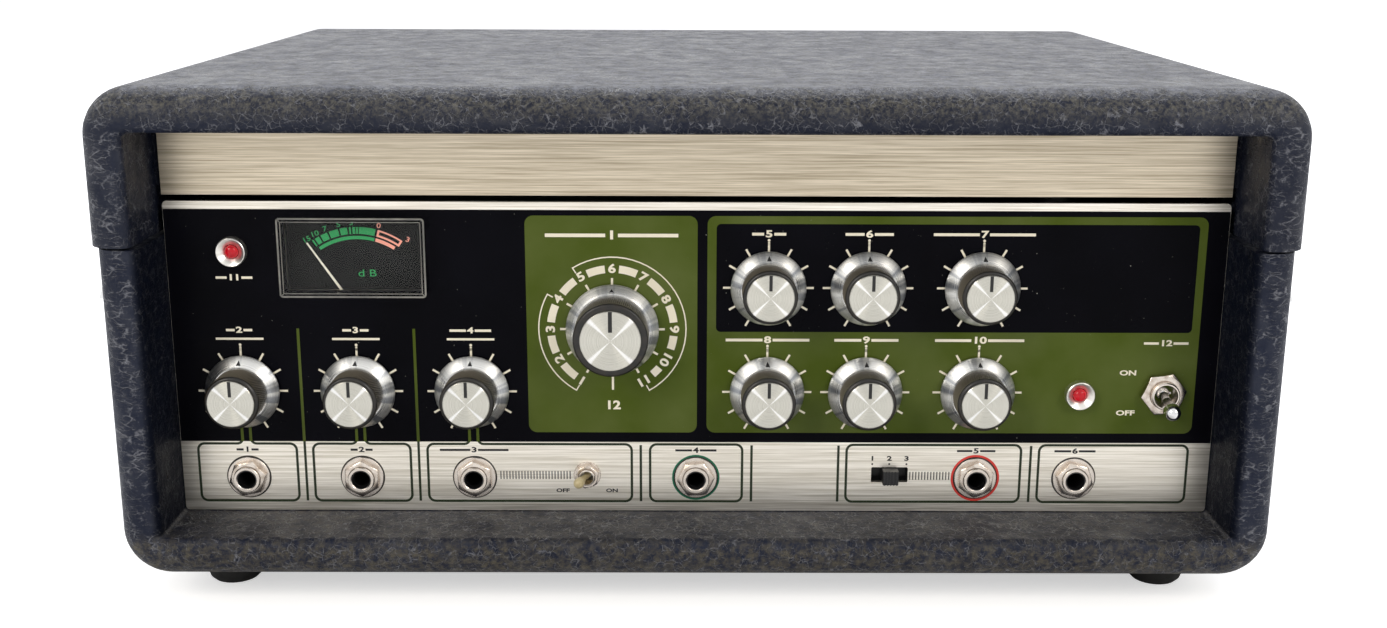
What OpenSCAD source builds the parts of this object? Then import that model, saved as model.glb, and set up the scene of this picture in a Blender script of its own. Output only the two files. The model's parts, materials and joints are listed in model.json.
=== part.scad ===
// Tape echo unit: a vinyl covered wooden case with a hinged lid, an aluminium front
// panel with its controls and sockets, and a tape transport on a deck under the lid.
// X runs to the right as seen from the front, the front faces -Y and Z is up. The origin
// is under the middle of the unit, on the surface it stands on. Lengths are millimetres.

/* [Case] */
// Width of the lower case over its vinyl
case_w = 406; // [405:0.5:408]
// Width of the lid, a little more than the lower case
lid_w = 410; // [409:0.5:412]
// Depth of the case and of the lid
case_d = 300; // [290:1:310]
// Height of the whole unit on its feet
unit_h = 185; // [184:0.5:186]
// Thickness of the covered boards
board_t = 15.2; // [15:0.1:15.2]
// Radius of the long outer corners of the case
corner_r = 17; // [16:0.5:20]
// Radius of the front and rear edges of the boards on the outside
edge_r = 10; // [8:0.5:12]
// Radius of those edges on the inside
inner_r = 3.5; // [2:0.5:5]
// Height of the joint between the case and the lid
seam_z = 131; // [130:0.5:132]
// Open gap of that joint
seam_gap = 0.8; // [0.6:0.1:1.2]

/* [Front panel] */
// Depth of the panel behind the front edge of the case
recess = 29; // [28:0.5:30]
// Width of the panel
panel_w = 375; // [373:0.5:375]
// Lower edge of the panel
panel_bottom = 27.7; // [27:0.1:28]
// Upper edge of the panel
panel_top = 142.6; // [142:0.1:143]
// Thickness of the panel and of the title strip
panel_t = 2; // [1.5:0.5:2]
// Lower edge of the title strip on the lid
strip_bottom = 144.9; // [144.5:0.1:146]

/* [Control places] */
// Column of the first microphone channel
mic_1_x = -163.5; // [-164:0.5:-163]
// Column of the second microphone channel
mic_2_x = -122; // [-122.5:0.5:-121.5]
// Column of the instrument channel
instrument_x = -81; // [-81.5:0.5:-80.5]
// Column of the mode selector
mode_x = -30.2; // [-31:0.1:-30]
// Column of the bass and repeat rate controls
bass_x = 25.3; // [25:0.1:26]
// Column of the treble and intensity controls
treble_x = 60.7; // [60:0.1:61]
// Column of the reverb and echo volume controls
reverb_x = 101.3; // [101:0.1:102]
// Column of the power lamp and the foot switch socket
lamp_x = 138.2; // [138:0.1:139]
// Column of the power switch
power_x = 168.3; // [168:0.1:169]
// Row of the upper controls
upper_row_z = 112; // [111.5:0.1:112.2]
// Row of the lower controls
lower_row_z = 73.4; // [73:0.1:74]
// Height of the mode selector
mode_z = 96.7; // [96:0.1:97]
// Row of the sockets
socket_z = 40.6; // [40:0.1:41]

/* [Knobs] */
// Radius of the bevelled skirt of a small knob
skirt_r = 13.4; // [13:0.1:13.6]
// Radius of the fluted grip of a small knob
grip_r = 9.6; // [9.4:0.1:9.8]
// Radius of the disc in the face of a small knob
disc_r = 8.35; // [8:0.05:8.4]
// Height of a small knob in front of the panel
knob_h = 17; // [16:0.5:17.5]
// Radius of the skirt of the mode knob
mode_skirt_r = 16.6; // [16:0.1:17]
// Radius of the fluted grip of the mode knob
mode_grip_r = 13.2; // [13:0.1:13.4]
// Radius of the disc in the face of the mode knob
mode_disc_r = 10.7; // [10:0.1:11]
// Height of the mode knob in front of the panel
mode_h = 17.5; // [17:0.5:18]
// Number of flutes round a small grip
flutes = 40; // [30:2:48]

/* [Sockets] */
// Bore radius of a socket for a 6.35 mm plug
socket_r = 3.25; // [3.2:0.05:3.3]
// Length of the bore of a socket
socket_bore = 30; // [28:1:32]

/* [Feet and handle] */
// Height of the rubber feet under the case
foot_h = 12.2; // [11.5:0.1:12.2]
// Radius of those feet at the case
foot_r = 12.5; // [11:0.5:13]
// How far the rubber feet on the left side stand out
side_foot_h = 9.5; // [9:0.5:10]
// Distance between the ends of the carrying strap
strap_span = 150; // [140:5:160]
// Thickness of the carrying strap
strap_t = 4; // [3:0.5:4]
// Width of the carrying strap
strap_w = 24; // [20:1:26]

/* [Tape transport] */
// Upper face of the deck plate
deck_z = 140; // [139.5:0.5:140]
// Radius of the capstan
capstan_r = 3; // [2.5:0.5:3]
// Radius of the flywheel on the capstan
flywheel_r = 40; // [36:1:40]
// Radius of the motor pulley
pulley_r = 8; // [7:0.5:9]
// Radius of the rubber pinch roller
pinch_r = 8; // [7.5:0.5:8]
// Height of the tape ribbon
tape_w = 6.35; // [6.35:0.01:6.35]
// Number of folds of the tape loop in its bin
folds = 7; // [5:1:8]

/* [Hidden] */
$fn = 64;

// Gap between pieces of one body that only touch, and between bodies that move
seat = 0.03;
clear = 0.3;
shaft_gap = 0.05;
// Cutters run past the faces they cut by this much
over = 1;

// Colours of the finishes
vinyl = "#1d1f24";
brushed = "#c9c4b8";
zinc = "#a9a9a3";
black_paint = "#15161a";
chromed = "#c8cbd0";
rubber = "#121214";
phenolic = "#17171a";
clear_plastic = [0.85, 0.88, 0.9, 0.35];

// Hinge at the rear
hinge_r = 3;
hinge_out = 2 * hinge_r + clear;
hinge_pin_r = 1.5;
hinge_w = 50;
hinge_x = 120;
leaf_t = 1.2;
leaf_h = 26;
leaf_gap = 0.5;

// Case
front_y = -(case_d + hinge_out) / 2;
rear_y = front_y + case_d;
floor_top = foot_h + board_t;
inner_x = case_w / 2 - board_t;
lid_inner_x = lid_w / 2 - board_t;
lid_under = unit_h - board_t;
rail_t = board_t;
rail_h = 26;
cleat_w = 12;
cleat_d = 14;
rear_panel_in = 18;
batten_t = 12;

// Feet, and the [y, z] places of those on the left side
foot_x = 172;
foot_inset = 34;
side_foot_inset = 44;
side_foot_r = 10;
side_foot_low = 47;
side_foot_high = 112;
side_foot_places = [
  [front_y + side_foot_inset, side_foot_low], [rear_y - side_foot_inset, side_foot_low],
  [front_y + 100, side_foot_high], [rear_y - side_foot_inset, side_foot_high]
];

// Front panel
panel_y = front_y + recess;
panel_back = panel_y + panel_t;

// Chassis
sheet_t = 1.5;
tray_x = 183.5;
tray_front = panel_back + seat;
tray_rear = rear_y - rear_panel_in - cleat_d;
deck_t = 2;
deck_under = deck_z - deck_t;

// Meter, its window centred at this place on the panel
meter_x = -121.2;
meter_z = 123.2;
meter_w = 51.8;
meter_h = 28.6;
meter_wall = 1.5;
meter_out = 4.5;
needle_pivot = [-123.2, 104.2];
needle_len = 27.5;
needle_rest = 34;
dial_depth = 5.5;

// Switch levers lean this far from square at each end of their travel
power_lean = 14;
echo_lean = 15;

// Latches
latch_y = front_y + 46;
latch_w = 28;
knuckle_r = 2.6;
latch_z = 138;
side_x = case_w / 2;
lid_side_x = lid_w / 2;

// Tape transport
tape_z = deck_z + 3;
tape_t = 0.4;
tape_y = -66;
capstan_x = 104;
capstan_y = tape_y + tape_t / 2 + clear + capstan_r;
wheel_z = 125;
wheel_t = 9;
motor_x = 10;
motor_y = -20;
post_r = 3;
turn_r = post_r + 0.15 + tape_t / 2;
right_turn_x = 150;
left_turn_x = -140;
lower_turn_y = tape_y + turn_r;
upper_turn_y = 20;
bin_left = -152;
bin_right = 162;
bin_front = 10;
bin_rear = 112;
bin_wall = 2;
bin_top = tape_z + tape_w + 1.65;
pinch_x = capstan_x;
pinch_y = tape_y - tape_t / 2 - clear - pinch_r;
arm_x = 134;
arm_y = pinch_y - 13.5;
arm_z = 152.5;
arm_t = 2.5;
roller_low = deck_z + 2.3;

// ---- Helpers ----

// Local frame on the panel's face: X right, Y up and Z out towards the player
module on_panel(x, z) {
  translate([x, panel_y, z])
    rotate([90, 0, 0])
      children();
}

// A profile drawn as seen from the front, reaching from y1 back to y2
module along_y(y1, y2) {
  translate([0, y2, 0])
    rotate([90, 0, 0])
      linear_extrude(height = y2 - y1)
        children();
}

// A box from its low corner to its high corner
module block(low, high) {
  translate(low)
    cube(high - low);
}

// Rectangle centred at the origin with arcs at its corners
module soft_rect(w, h, r) {
  square([w - 2 * r, h], center = true);
  square([w, h - 2 * r], center = true);
  for (sx = [-1, 1], sy = [-1, 1]) {
    translate([sx * (w / 2 - r), sy * (h / 2 - r)])
      circle(r = r);
  }
}

// Puts a copy on the left and on the right
module both_sides() {
  children();
  mirror([1, 0, 0])
    children();
}

// Section of a covered board: its thickness along X with the outer face at board_t, its
// depth along Y. Its front and rear edges are rounder outside than inside.
module board_section() {
  intersection() {
    translate([0, case_d / 2])
      soft_rect(2 * board_t, case_d, edge_r);
    translate([board_t, case_d / 2])
      soft_rect(2 * board_t, case_d, inner_r);
  }
}

// One bent corner of a board: it joins a flat board to an upright one
module board_corner() {
  rotate_extrude(angle = 90)
    translate([corner_r - board_t, 0])
      board_section();
}

// Upright board on the right side, outer face at x
module side_board(x, z1, z2) {
  translate([x - board_t, front_y, z1])
    linear_extrude(height = z2 - z1)
      board_section();
}

// Flat board between the two corners, its outer face down at z = 0
module flat_board(half) {
  translate([-half, front_y, 0])
    rotate([90, 0, 90])
      linear_extrude(height = 2 * half)
        translate([0, board_t])
          rotate([0, 0, -90])
            board_section();
}

// Corner of the right side, standing on z = 0, outer face at x
module lower_corner(x) {
  translate([x - corner_r, front_y, corner_r])
    rotate([90, 0, 0])
      mirror([0, 0, 1])
        rotate([0, 0, -90])
          board_corner();
}

// Points on an arc, angles in degrees
function arc(cx, cy, r, a1, a2, n) = [
  for (i = [0 : n]) [
    cx + r * cos(a1 + (a2 - a1) * i / n),
    cy + r * sin(a1 + (a2 - a1) * i / n)
  ]
];

// Each point of a closed path, moved sideways by d
function shifted(path, d) = [
  for (i = [0 : len(path) - 1])
    let (
      before = path[(i + len(path) - 1) % len(path)],
      after = path[(i + 1) % len(path)],
      run = after - before
    )
    path[i] + d * [run[1], -run[0]] / norm(run)
];

// Outline of a fluted grip
function flute_ring(r, depth, n) = [
  for (i = [0 : 2 * n - 1])
    let (rr = i % 2 == 0 ? r : r - depth)
    [rr * cos(180 * i / n), rr * sin(180 * i / n)]
];

// A disc with a hole, from z1 to z2
module ring(r_out, r_in, z1, z2) {
  translate([0, 0, z1])
    difference() {
      cylinder(h = z2 - z1, r = r_out);
      translate([0, 0, -over])
        cylinder(h = z2 - z1 + 2 * over, r = r_in);
    }
}

// A solid disc from z1 to z2
module disc(r, z1, z2) {
  translate([0, 0, z1])
    cylinder(h = z2 - z1, r = r);
}

// A hexagon nut with a round hole, from z1 to z2, the corners of its upper face turned off
module hex_nut(across, r_in, z1, z2) {
  h = z2 - z1;
  face_r = 0.48 * across;
  translate([0, 0, z1])
    difference() {
      intersection() {
        cylinder(h = h, r = across / 2 / cos(30), $fn = 6);
        cylinder(h = h, r1 = face_r + h / tan(30), r2 = face_r);
      }
      translate([0, 0, -over])
        cylinder(h = h + 2 * over, r = r_in);
    }
}

// ---- Case ----

module case_shell() {
  flat_half = case_w / 2 - corner_r;
  top = seam_z - seam_gap / 2;
  color(vinyl) {
    translate([0, 0, foot_h]) {
      flat_board(flat_half);
      both_sides()
        lower_corner(case_w / 2);
    }
    both_sides()
      side_board(case_w / 2, foot_h + corner_r, top);
    // Rail across the back that carries the hinges
    block(
      [edge_r - case_w / 2, rear_y - rail_t, top - rail_h],
      [case_w / 2 - edge_r, rear_y, top]
    );
    // Cleats that hold the rear panel
    both_sides()
      block(
        [inner_x - cleat_w, rear_y - rear_panel_in - cleat_d, floor_top - over],
        [inner_x + over, rear_y - rear_panel_in, top - rail_h]
      );
  }
}

module lid_shell() {
  flat_half = lid_w / 2 - corner_r;
  low = seam_z + seam_gap / 2;
  color(vinyl) {
    translate([0, 0, unit_h])
      mirror([0, 0, 1]) {
        flat_board(flat_half);
        both_sides()
          lower_corner(lid_w / 2);
      }
    both_sides()
      side_board(lid_w / 2, low, unit_h - corner_r);
    block(
      [edge_r - lid_w / 2, rear_y - rail_t, low],
      [lid_w / 2 - edge_r, rear_y, unit_h - corner_r]
    );
    block(
      [-flat_half, rear_y - rail_t, unit_h - corner_r - over],
      [flat_half, rear_y, unit_h - edge_r]
    );
    // Batten behind the title strip
    block(
      [-lid_inner_x - over, panel_back, strip_bottom + 3],
      [lid_inner_x + over, panel_back + batten_t, lid_under + over]
    );
  }
}

module title_strip() {
  color(brushed)
    block([-panel_w / 2, panel_y, strip_bottom], [panel_w / 2, panel_back - seat, lid_under - clear]);
}

// A tapered rubber foot, standing on z = 0 and wide at the case
module rubber_foot(r, h) {
  sole = r * 0.76;
  rim = 1.4;
  rotate_extrude()
    polygon([[0, 0], [sole - rim, 0], [sole, rim], [r, h - rim], [r, h], [0, h]]);
}

module floor_feet() {
  color(rubber)
    for (sx = [-1, 1], y = [front_y + foot_inset, rear_y - foot_inset]) {
      translate([sx * foot_x, y, 0])
        rubber_foot(foot_r, foot_h);
    }
}

// The case stands on these when it is set down after carrying
module side_feet() {
  color(rubber)
    for (p = side_foot_places) {
      translate([-side_x - side_foot_h, p[0], p[1]])
        rotate([0, 90, 0])
          rubber_foot(side_foot_r, side_foot_h);
    }
}

// ---- Handle on the right side ----

strap_rise = 7;
strap_z = 84;
strap_y = (front_y + rear_y) / 2;
strap_foot = 3.5;
strap_half = strap_span / 2;
strap_pin_r = 2.5;
strap_pin_y = strap_half - 9;

// Strap bowed away from the case, a hole near each end
module carry_strap() {
  bow = (strap_half * strap_half + strap_rise * strap_rise) / (2 * strap_rise);
  pin_gap = 0.2;
  color(rubber)
    translate([side_x + strap_foot, strap_y, strap_z - strap_w / 2])
      difference() {
        intersection() {
          translate([strap_rise - bow, 0, 0])
            ring(bow + strap_t, bow, 0, strap_w, $fn = 200);
          block([-over, -strap_half, -over], [strap_rise + strap_t + over, strap_half, strap_w + over]);
        }
        for (sy = [-1, 1]) {
          translate([-strap_foot, sy * strap_pin_y, strap_w / 2])
            rotate([0, 90, 0])
              cylinder(h = strap_foot + strap_rise + strap_t, r = strap_pin_r + pin_gap);
        }
      }
}

// Metal caps that the strap slides into, with the screw that holds it
module strap_ends() {
  cap_len = 34;
  cap_h = 32;
  cap_x = 14;
  cap_r = 6;
  cap_y = strap_half - 6;
  end_wall = 4;
  face_wall = 1.7;
  pocket_under = 1.3;
  pin_short = 0.2;
  half_gap = strap_w / 2 + 0.5;
  color(chromed)
    for (sy = [-1, 1]) {
      translate([side_x, strap_y, strap_z]) {
        difference() {
          translate([0, sy * cap_y, 0])
            rotate([0, 90, 0])
              linear_extrude(height = cap_x)
                soft_rect(cap_h, cap_len, cap_r);
          // Pocket, open towards the middle of the strap
          mirror([0, sy > 0 ? 0 : 1, 0])
            block(
              [strap_foot - pocket_under, cap_y - cap_len, -half_gap],
              [cap_x - face_wall, cap_y + cap_len / 2 - end_wall, half_gap]
            );
        }
        translate([over, sy * strap_pin_y, 0])
          rotate([0, 90, 0])
            cylinder(h = cap_x - over - pin_short, r = strap_pin_r);
      }
    }
}

// ---- Rear hinges ----

hinge_y = rear_y + hinge_r + clear;

// Rod along X centred on the hinge axis, from x1 to x2
module hinge_rod(x1, x2, r) {
  translate([x1, hinge_y, seam_z])
    rotate([0, 90, 0])
      cylinder(h = x2 - x1, r = r);
}

module hinge_case_leaves() {
  knuckle_w = hinge_w / 4;
  color(chromed)
    for (sx = [-1, 1]) {
      translate([sx * hinge_x, 0, 0]) {
        block(
          [-hinge_w / 2, rear_y, seam_z - leaf_h],
          [hinge_w / 2, rear_y + leaf_t, seam_z - hinge_r - leaf_gap]
        );
        for (x1 = [-hinge_w / 2, hinge_w / 2 - knuckle_w]) {
          hinge_rod(x1, x1 + knuckle_w, hinge_r);
          block(
            [x1, rear_y, seam_z - hinge_r - over],
            [x1 + knuckle_w, rear_y + leaf_t, seam_z - leaf_gap]
          );
        }
        hinge_rod(-hinge_w / 2, hinge_w / 2, hinge_pin_r);
      }
    }
}

module hinge_lid_leaves() {
  half = hinge_w / 4 - clear;
  color(chromed)
    for (sx = [-1, 1]) {
      translate([sx * hinge_x, 0, 0]) {
        block(
          [-hinge_w / 2, rear_y, seam_z + hinge_r + leaf_gap],
          [hinge_w / 2, rear_y + leaf_t, seam_z + leaf_h]
        );
        difference() {
          union() {
            hinge_rod(-half, half, hinge_r);
            block(
              [-half, rear_y, seam_z + leaf_gap],
              [half, rear_y + leaf_t, seam_z + hinge_r + over]
            );
          }
          hinge_rod(-half - over, half + over, hinge_pin_r + shaft_gap);
        }
      }
    }
}

// ---- Latches at the sides ----

latch_plate_t = 0.8;
latch_axis_x = lid_side_x + latch_plate_t + 0.4 + knuckle_r;
latch_pin_r = 1.1;
latch_ear = latch_w / 4;
latch_bend_z = 126;
latch_waist_z = 116;
latch_tip_z = 106.5;
strike_top = 114;

// Rod along Y on a latch's pin axis, from y1 to y2 as measured from the latch's middle
module latch_rod(y1, y2, r) {
  translate([latch_axis_x, latch_y + y1, latch_z])
    rotate([-90, 0, 0])
      cylinder(h = y2 - y1, r = r);
}

// Side profile of the sprung leaf, bent in at its waist and out again to a finger tab
module leaf_profile() {
  x0 = latch_axis_x + 0.6;
  metal = 1.4;
  polygon([
    [x0, latch_z],
    [x0 + 2, latch_z],
    [x0 + 1.2 + metal, latch_bend_z],
    [x0 + 0.2 + metal, latch_waist_z],
    [x0 + 1 + metal, latch_waist_z - 4],
    [x0 + 3 + metal, latch_tip_z],
    [x0 + 1.5 + metal, latch_tip_z],
    [x0 + 1, latch_waist_z - 4.5],
    [x0 + 0.2, latch_waist_z],
    [x0 + 1.2, latch_bend_z]
  ]);
}

module right_latch() {
  color(chromed)
    difference() {
      union() {
        along_y(latch_y - latch_w / 2, latch_y + latch_w / 2)
          leaf_profile();
        latch_rod(clear - latch_ear, latch_ear - clear, knuckle_r);
      }
      // Room for the ears of the plate
      for (y1 = [-latch_w, latch_ear - clear]) {
        translate([latch_axis_x - latch_w / 2, latch_y + y1, latch_z - knuckle_r - leaf_gap])
          cube([latch_w, latch_w + clear - latch_ear, 2 * knuckle_r + over]);
      }
      latch_rod(-latch_w, latch_w, latch_pin_r + shaft_gap);
    }
}

module left_latch() {
  mirror([1, 0, 0])
    right_latch();
}

// Plates on the lid with two ears and the pin for each latch
module latch_plates() {
  web = 1.2;
  color(chromed)
    both_sides() {
      block(
        [lid_side_x, latch_y - latch_w / 2, seam_z + 1],
        [lid_side_x + latch_plate_t, latch_y + latch_w / 2, seam_z + 22]
      );
      for (y1 = [-2 * latch_ear, latch_ear]) {
        latch_rod(y1, y1 + latch_ear, knuckle_r);
        block(
          [lid_side_x, latch_y + y1, latch_z - web],
          [latch_axis_x, latch_y + y1 + latch_ear, latch_z + web]
        );
      }
      latch_rod(-2 * latch_ear, 2 * latch_ear, latch_pin_r);
    }
}

// Plates on the case, each with a lip turned out below the leaf
module latch_strikes() {
  plate_t = 1;
  plate_h = 22;
  lip_w = latch_w - 6;
  color(chromed)
    both_sides() {
      block(
        [side_x, latch_y - latch_w / 2, strike_top - plate_h],
        [side_x + plate_t, latch_y + latch_w / 2, strike_top]
      );
      along_y(latch_y - lip_w / 2, latch_y + lip_w / 2)
        polygon([
          [side_x + plate_t / 2, strike_top - 1],
          [side_x + 4.4, strike_top - 2],
          [side_x + 8.4, strike_top - 9.8],
          [side_x + 7.4, strike_top - 10.2],
          [side_x + 3.6, strike_top - 3.4],
          [side_x + plate_t / 2, strike_top - 2.6]
        ]);
    }
}

// ---- Front panel and what is fixed to it ----

small_controls = [
  [mic_1_x, lower_row_z], [mic_2_x, lower_row_z], [instrument_x, lower_row_z],
  [bass_x, upper_row_z], [treble_x, upper_row_z], [reverb_x, upper_row_z],
  [bass_x, lower_row_z], [treble_x, lower_row_z], [reverb_x, lower_row_z]
];
sockets = [
  [mic_1_x, socket_z], [mic_2_x, socket_z], [instrument_x, socket_z],
  [-0.2, socket_z], [reverb_x + 0.8, socket_z], [lamp_x, socket_z]
];
peak_lamp = [-164, 124.8];
power_lamp = [lamp_x, 72.8];
echo_toggle = [-39.9, 41.6];
slide_place = [70.7, 41.8];
slide_w = 13.4;
slide_h = 5.8;

bush_r = 3.5;
mode_bush_r = bush_r + 0.5;
hole_gap = 0.1;
shaft_r = 3;
bush_bore = shaft_r + shaft_gap;
socket_bush_r = 4.7;
socket_out = 3.8;
power_bush_r = 5.1;
echo_bush_r = 3;
lamp_bush_r = 3.4;

module front_panel() {
  corner = 1.5;
  color(brushed)
    difference() {
      translate([0, 0, (panel_bottom + panel_top) / 2])
        along_y(panel_y, panel_back)
          soft_rect(panel_w, panel_top - panel_bottom, corner);
      for (p = small_controls)
        panel_hole(p, bush_r);
      panel_hole([mode_x, mode_z], mode_bush_r);
      for (p = sockets)
        panel_hole(p, socket_bush_r);
      panel_hole(peak_lamp, lamp_bush_r);
      panel_hole(power_lamp, lamp_bush_r);
      panel_hole([power_x, lower_row_z], power_bush_r);
      panel_hole(echo_toggle, echo_bush_r);
      panel_slot([meter_x, meter_z], meter_w - 2 * meter_wall - 0.2, meter_h - 2 * meter_wall - 0.2, 1);
      panel_slot(slide_place, slide_w, slide_h, 0.5);
    }
}

// Hole for a bush of radius r
module panel_hole(p, r) {
  on_panel(p[0], p[1])
    disc(r + hole_gap, -panel_t - over, over);
}

module panel_slot(p, w, h, r) {
  on_panel(p[0], p[1])
    translate([0, 0, -panel_t - over])
      linear_extrude(height = panel_t + 2 * over)
        soft_rect(w, h, r);
}

// Washer and hexagon nut on a bush of radius r, from the panel's face out
module bush_nut(r, washer_r, across, nut_h) {
  washer_t = 0.6;
  ring(washer_r, r + seat, 0, washer_t);
  hex_nut(across, r + seat, washer_t + seat, washer_t + nut_h);
}

// Potentiometer or rotary switch: round body, threaded bush and nut, bored for the shaft
module pot(bush, body_r, body_d) {
  bush_out = 4;
  tab_w = 1.5;
  tab_t = 0.8;
  tab_out = 5;
  tab_step = 4;
  end_wall = 1.5;
  difference() {
    union() {
      disc(body_r, -panel_t - body_d, -panel_t - seat);
      disc(bush, -panel_t - over, bush_out);
      // Terminals under the body
      for (i = [-1 : 1]) {
        translate([i * tab_step - tab_w / 2, -body_r - tab_out, -panel_t - body_d + 1])
          cube([tab_w, tab_out + over, tab_t]);
      }
    }
    disc(bush_bore, -panel_t - body_d + end_wall, bush_out + over);
  }
  bush_nut(bush, bush + 2, 2 * bush + 3, 2);
}

module control_pots() {
  body_r = 8;
  body_d = 9;
  color(zinc)
    for (p = small_controls) {
      on_panel(p[0], p[1])
        pot(bush_r, body_r, body_d);
    }
}

module mode_switch() {
  body_r = 14.5;
  body_d = 16;
  color(zinc)
    on_panel(mode_x, mode_z)
      pot(mode_bush_r, body_r, body_d);
}

// Socket for a plug: closed body, threaded bush and a straight bore
module jack_sockets() {
  body_w = 15;
  body_h = 16;
  body_d = 31;
  color(phenolic)
    for (p = sockets) {
      on_panel(p[0], p[1])
        difference() {
          union() {
            block([-body_w / 2, -body_h / 2, -panel_t - body_d], [body_w / 2, body_h / 2, -panel_t - seat]);
            disc(socket_bush_r, -panel_t - over, socket_out);
          }
          disc(socket_r, socket_out - socket_bore, socket_out + over);
        }
    }
}

// Washer, hexagon nut and thin collar on each socket
module jack_nuts() {
  washer_r = 7.2;
  across = 12.2;
  collar_r = 6;
  collar_t = 0.6;
  nut_z = 0.8 + seat;
  collar_z = 2.6 + seat;
  color(chromed)
    for (p = sockets) {
      on_panel(p[0], p[1]) {
        ring(washer_r, socket_bush_r + seat, 0, nut_z - seat);
        hex_nut(across, socket_bush_r + seat, nut_z, collar_z - seat);
        ring(collar_r, socket_bush_r + seat, collar_z, collar_z + collar_t);
      }
    }
}

module meter_window() {
  outer_corner = 1.2;
  inner_corner = 0.6;
  color(clear_plastic)
    on_panel(meter_x, meter_z)
      difference() {
        linear_extrude(height = meter_out)
          soft_rect(meter_w, meter_h, outer_corner);
        translate([0, 0, -over])
          linear_extrude(height = meter_out - meter_wall + over)
            soft_rect(meter_w - 2 * meter_wall, meter_h - 2 * meter_wall, inner_corner);
      }
}

meter_case_w = 54;
meter_case_low = 99;
meter_case_high = 137.6;
meter_case_d = 24;
dial_t = 0.9;
needle_pin_r = 0.7;

// Walls of the movement's case, drawn about the window's centre and set in by inset
module meter_case_block(inset, z1, z2) {
  half = meter_case_w / 2 - inset;
  block(
    [-half, meter_case_low - meter_z + inset, z1],
    [half, meter_case_high - meter_z - inset, z2]
  );
}

module meter_case() {
  floor_d = panel_t + dial_depth;
  color(phenolic)
    on_panel(meter_x, meter_z) {
      difference() {
        meter_case_block(0, -panel_t - meter_case_d, -panel_t - seat);
        meter_case_block(meter_wall, -floor_d, over);
      }
      // Pin that the needle turns on
      translate(needle_pivot - [meter_x, meter_z])
        disc(needle_pin_r, -floor_d - over, -panel_t - 0.4);
    }
}

module meter_dial() {
  floor_d = panel_t + dial_depth;
  color(black_paint)
    on_panel(meter_x, meter_z)
      difference() {
        meter_case_block(meter_wall + 0.1, seat - floor_d, dial_t - floor_d);
        translate(needle_pivot - [meter_x, meter_z])
          disc(needle_pin_r + clear, -floor_d - over, 0);
      }
}

// Needle at its rest on the left: hub, tapering pointer and balance weight
module meter_needle() {
  hub_r = 1.8;
  hub_low = -panel_t - 4.2;
  hub_high = -panel_t - 0.8;
  pointer_z = -panel_t - 2.4;
  pointer_t = 0.5;
  root = 0.45;
  tip = 0.2;
  weight_t = 0.9;
  weight_end = -3.4;
  color("white")
    on_panel(needle_pivot[0], needle_pivot[1])
      rotate([0, 0, needle_rest]) {
        ring(hub_r, needle_pin_r + shaft_gap, hub_low, hub_high);
        translate([0, 0, pointer_z])
          linear_extrude(height = pointer_t)
            polygon([[-root, hub_r - 0.2], [root, hub_r - 0.2], [tip, needle_len], [-tip, needle_len]]);
        translate([0, 0, pointer_z - (weight_t - pointer_t) / 2])
          linear_extrude(height = weight_t)
            polygon([[-1, 0.3 - hub_r], [1, 0.3 - hub_r], [0.6, weight_end], [-0.6, weight_end]]);
      }
}

lens_r = 2.5;
bezel_r = 5.3;

// Turned bezel with a flared mouth round each lens
module lamp_bezels() {
  bore = lens_r + 0.1;
  tail = -panel_t - 6;
  lip = 3.3;
  seat_z = 0.4;
  color(chromed)
    for (p = [peak_lamp, power_lamp]) {
      on_panel(p[0], p[1])
        rotate_extrude()
          polygon([
            [bore, tail], [lamp_bush_r, tail], [lamp_bush_r, 0],
            [bezel_r, 0], [bezel_r, lip - 0.7], [bezel_r - 0.3, lip], [bezel_r - 0.7, lip], [bore, seat_z]
          ]);
    }
}

module lamp_lenses() {
  shoulder = 0.6;
  color("#b3141c")
    for (p = [peak_lamp, power_lamp]) {
      on_panel(p[0], p[1]) {
        disc(lens_r, -panel_t - 5, shoulder);
        translate([0, 0, shoulder])
          intersection() {
            sphere(r = lens_r);
            disc(lens_r + over, 0, lens_r);
          }
      }
    }
}

// Toggle switch: box body of the given size, threaded bush with a flared mouth, nut
module toggle_switch(bush, out, size, across, mouth) {
  throat = mouth * 0.78;
  well = 5;
  washer_rim = 2.4;
  nut_h = 2.4;
  difference() {
    union() {
      block([-size[0] / 2, -size[1] / 2, -panel_t - size[2]], [size[0] / 2, size[1] / 2, -panel_t - seat]);
      disc(bush, -panel_t - over, out);
    }
    disc(throat, -panel_t - well, over);
    translate([0, 0, over / 2])
      cylinder(h = out - over / 2 + 0.01, r1 = throat, r2 = mouth);
  }
  bush_nut(bush, bush + washer_rim, across, nut_h);
}

module power_switch() {
  body = [13, 27, 20];
  color(zinc)
    on_panel(power_x, lower_row_z)
      toggle_switch(bush = power_bush_r, out = 5.2, size = body, across = 13.2, mouth = 4.3);
}

module echo_switch() {
  body = [12, 8, 12];
  color(zinc)
    on_panel(echo_toggle[0], echo_toggle[1])
      toggle_switch(bush = echo_bush_r, out = 4, size = body, across = 8, mouth = 2.5);
}

// Bat lever about its ball: straight neck, swelling handle and round tip
module bat_lever(ball, neck, tip, length) {
  tip_z = length * 0.84;
  swell_z = length * 0.74;
  neck_z = length * 0.38;
  sphere(r = ball);
  rotate_extrude()
    polygon([[0, 0], [neck, 0], [neck, neck_z], [tip, swell_z], [tip, tip_z], [0, tip_z]]);
  translate([0, 0, tip_z])
    sphere(r = tip);
}

// Pin that a lever tilts on, along X through its ball
module lever_pin(r, half) {
  rotate([0, 90, 0])
    cylinder(h = 2 * half, r = r, center = true);
}

module power_lever() {
  color(chromed)
    on_panel(power_x, lower_row_z) {
      rotate([power_lean, 0, 0])
        bat_lever(ball = 2.6, neck = 1.7, tip = 2.9, length = 16.5);
      lever_pin(r = 0.6, half = 2.95);
    }
}

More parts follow.
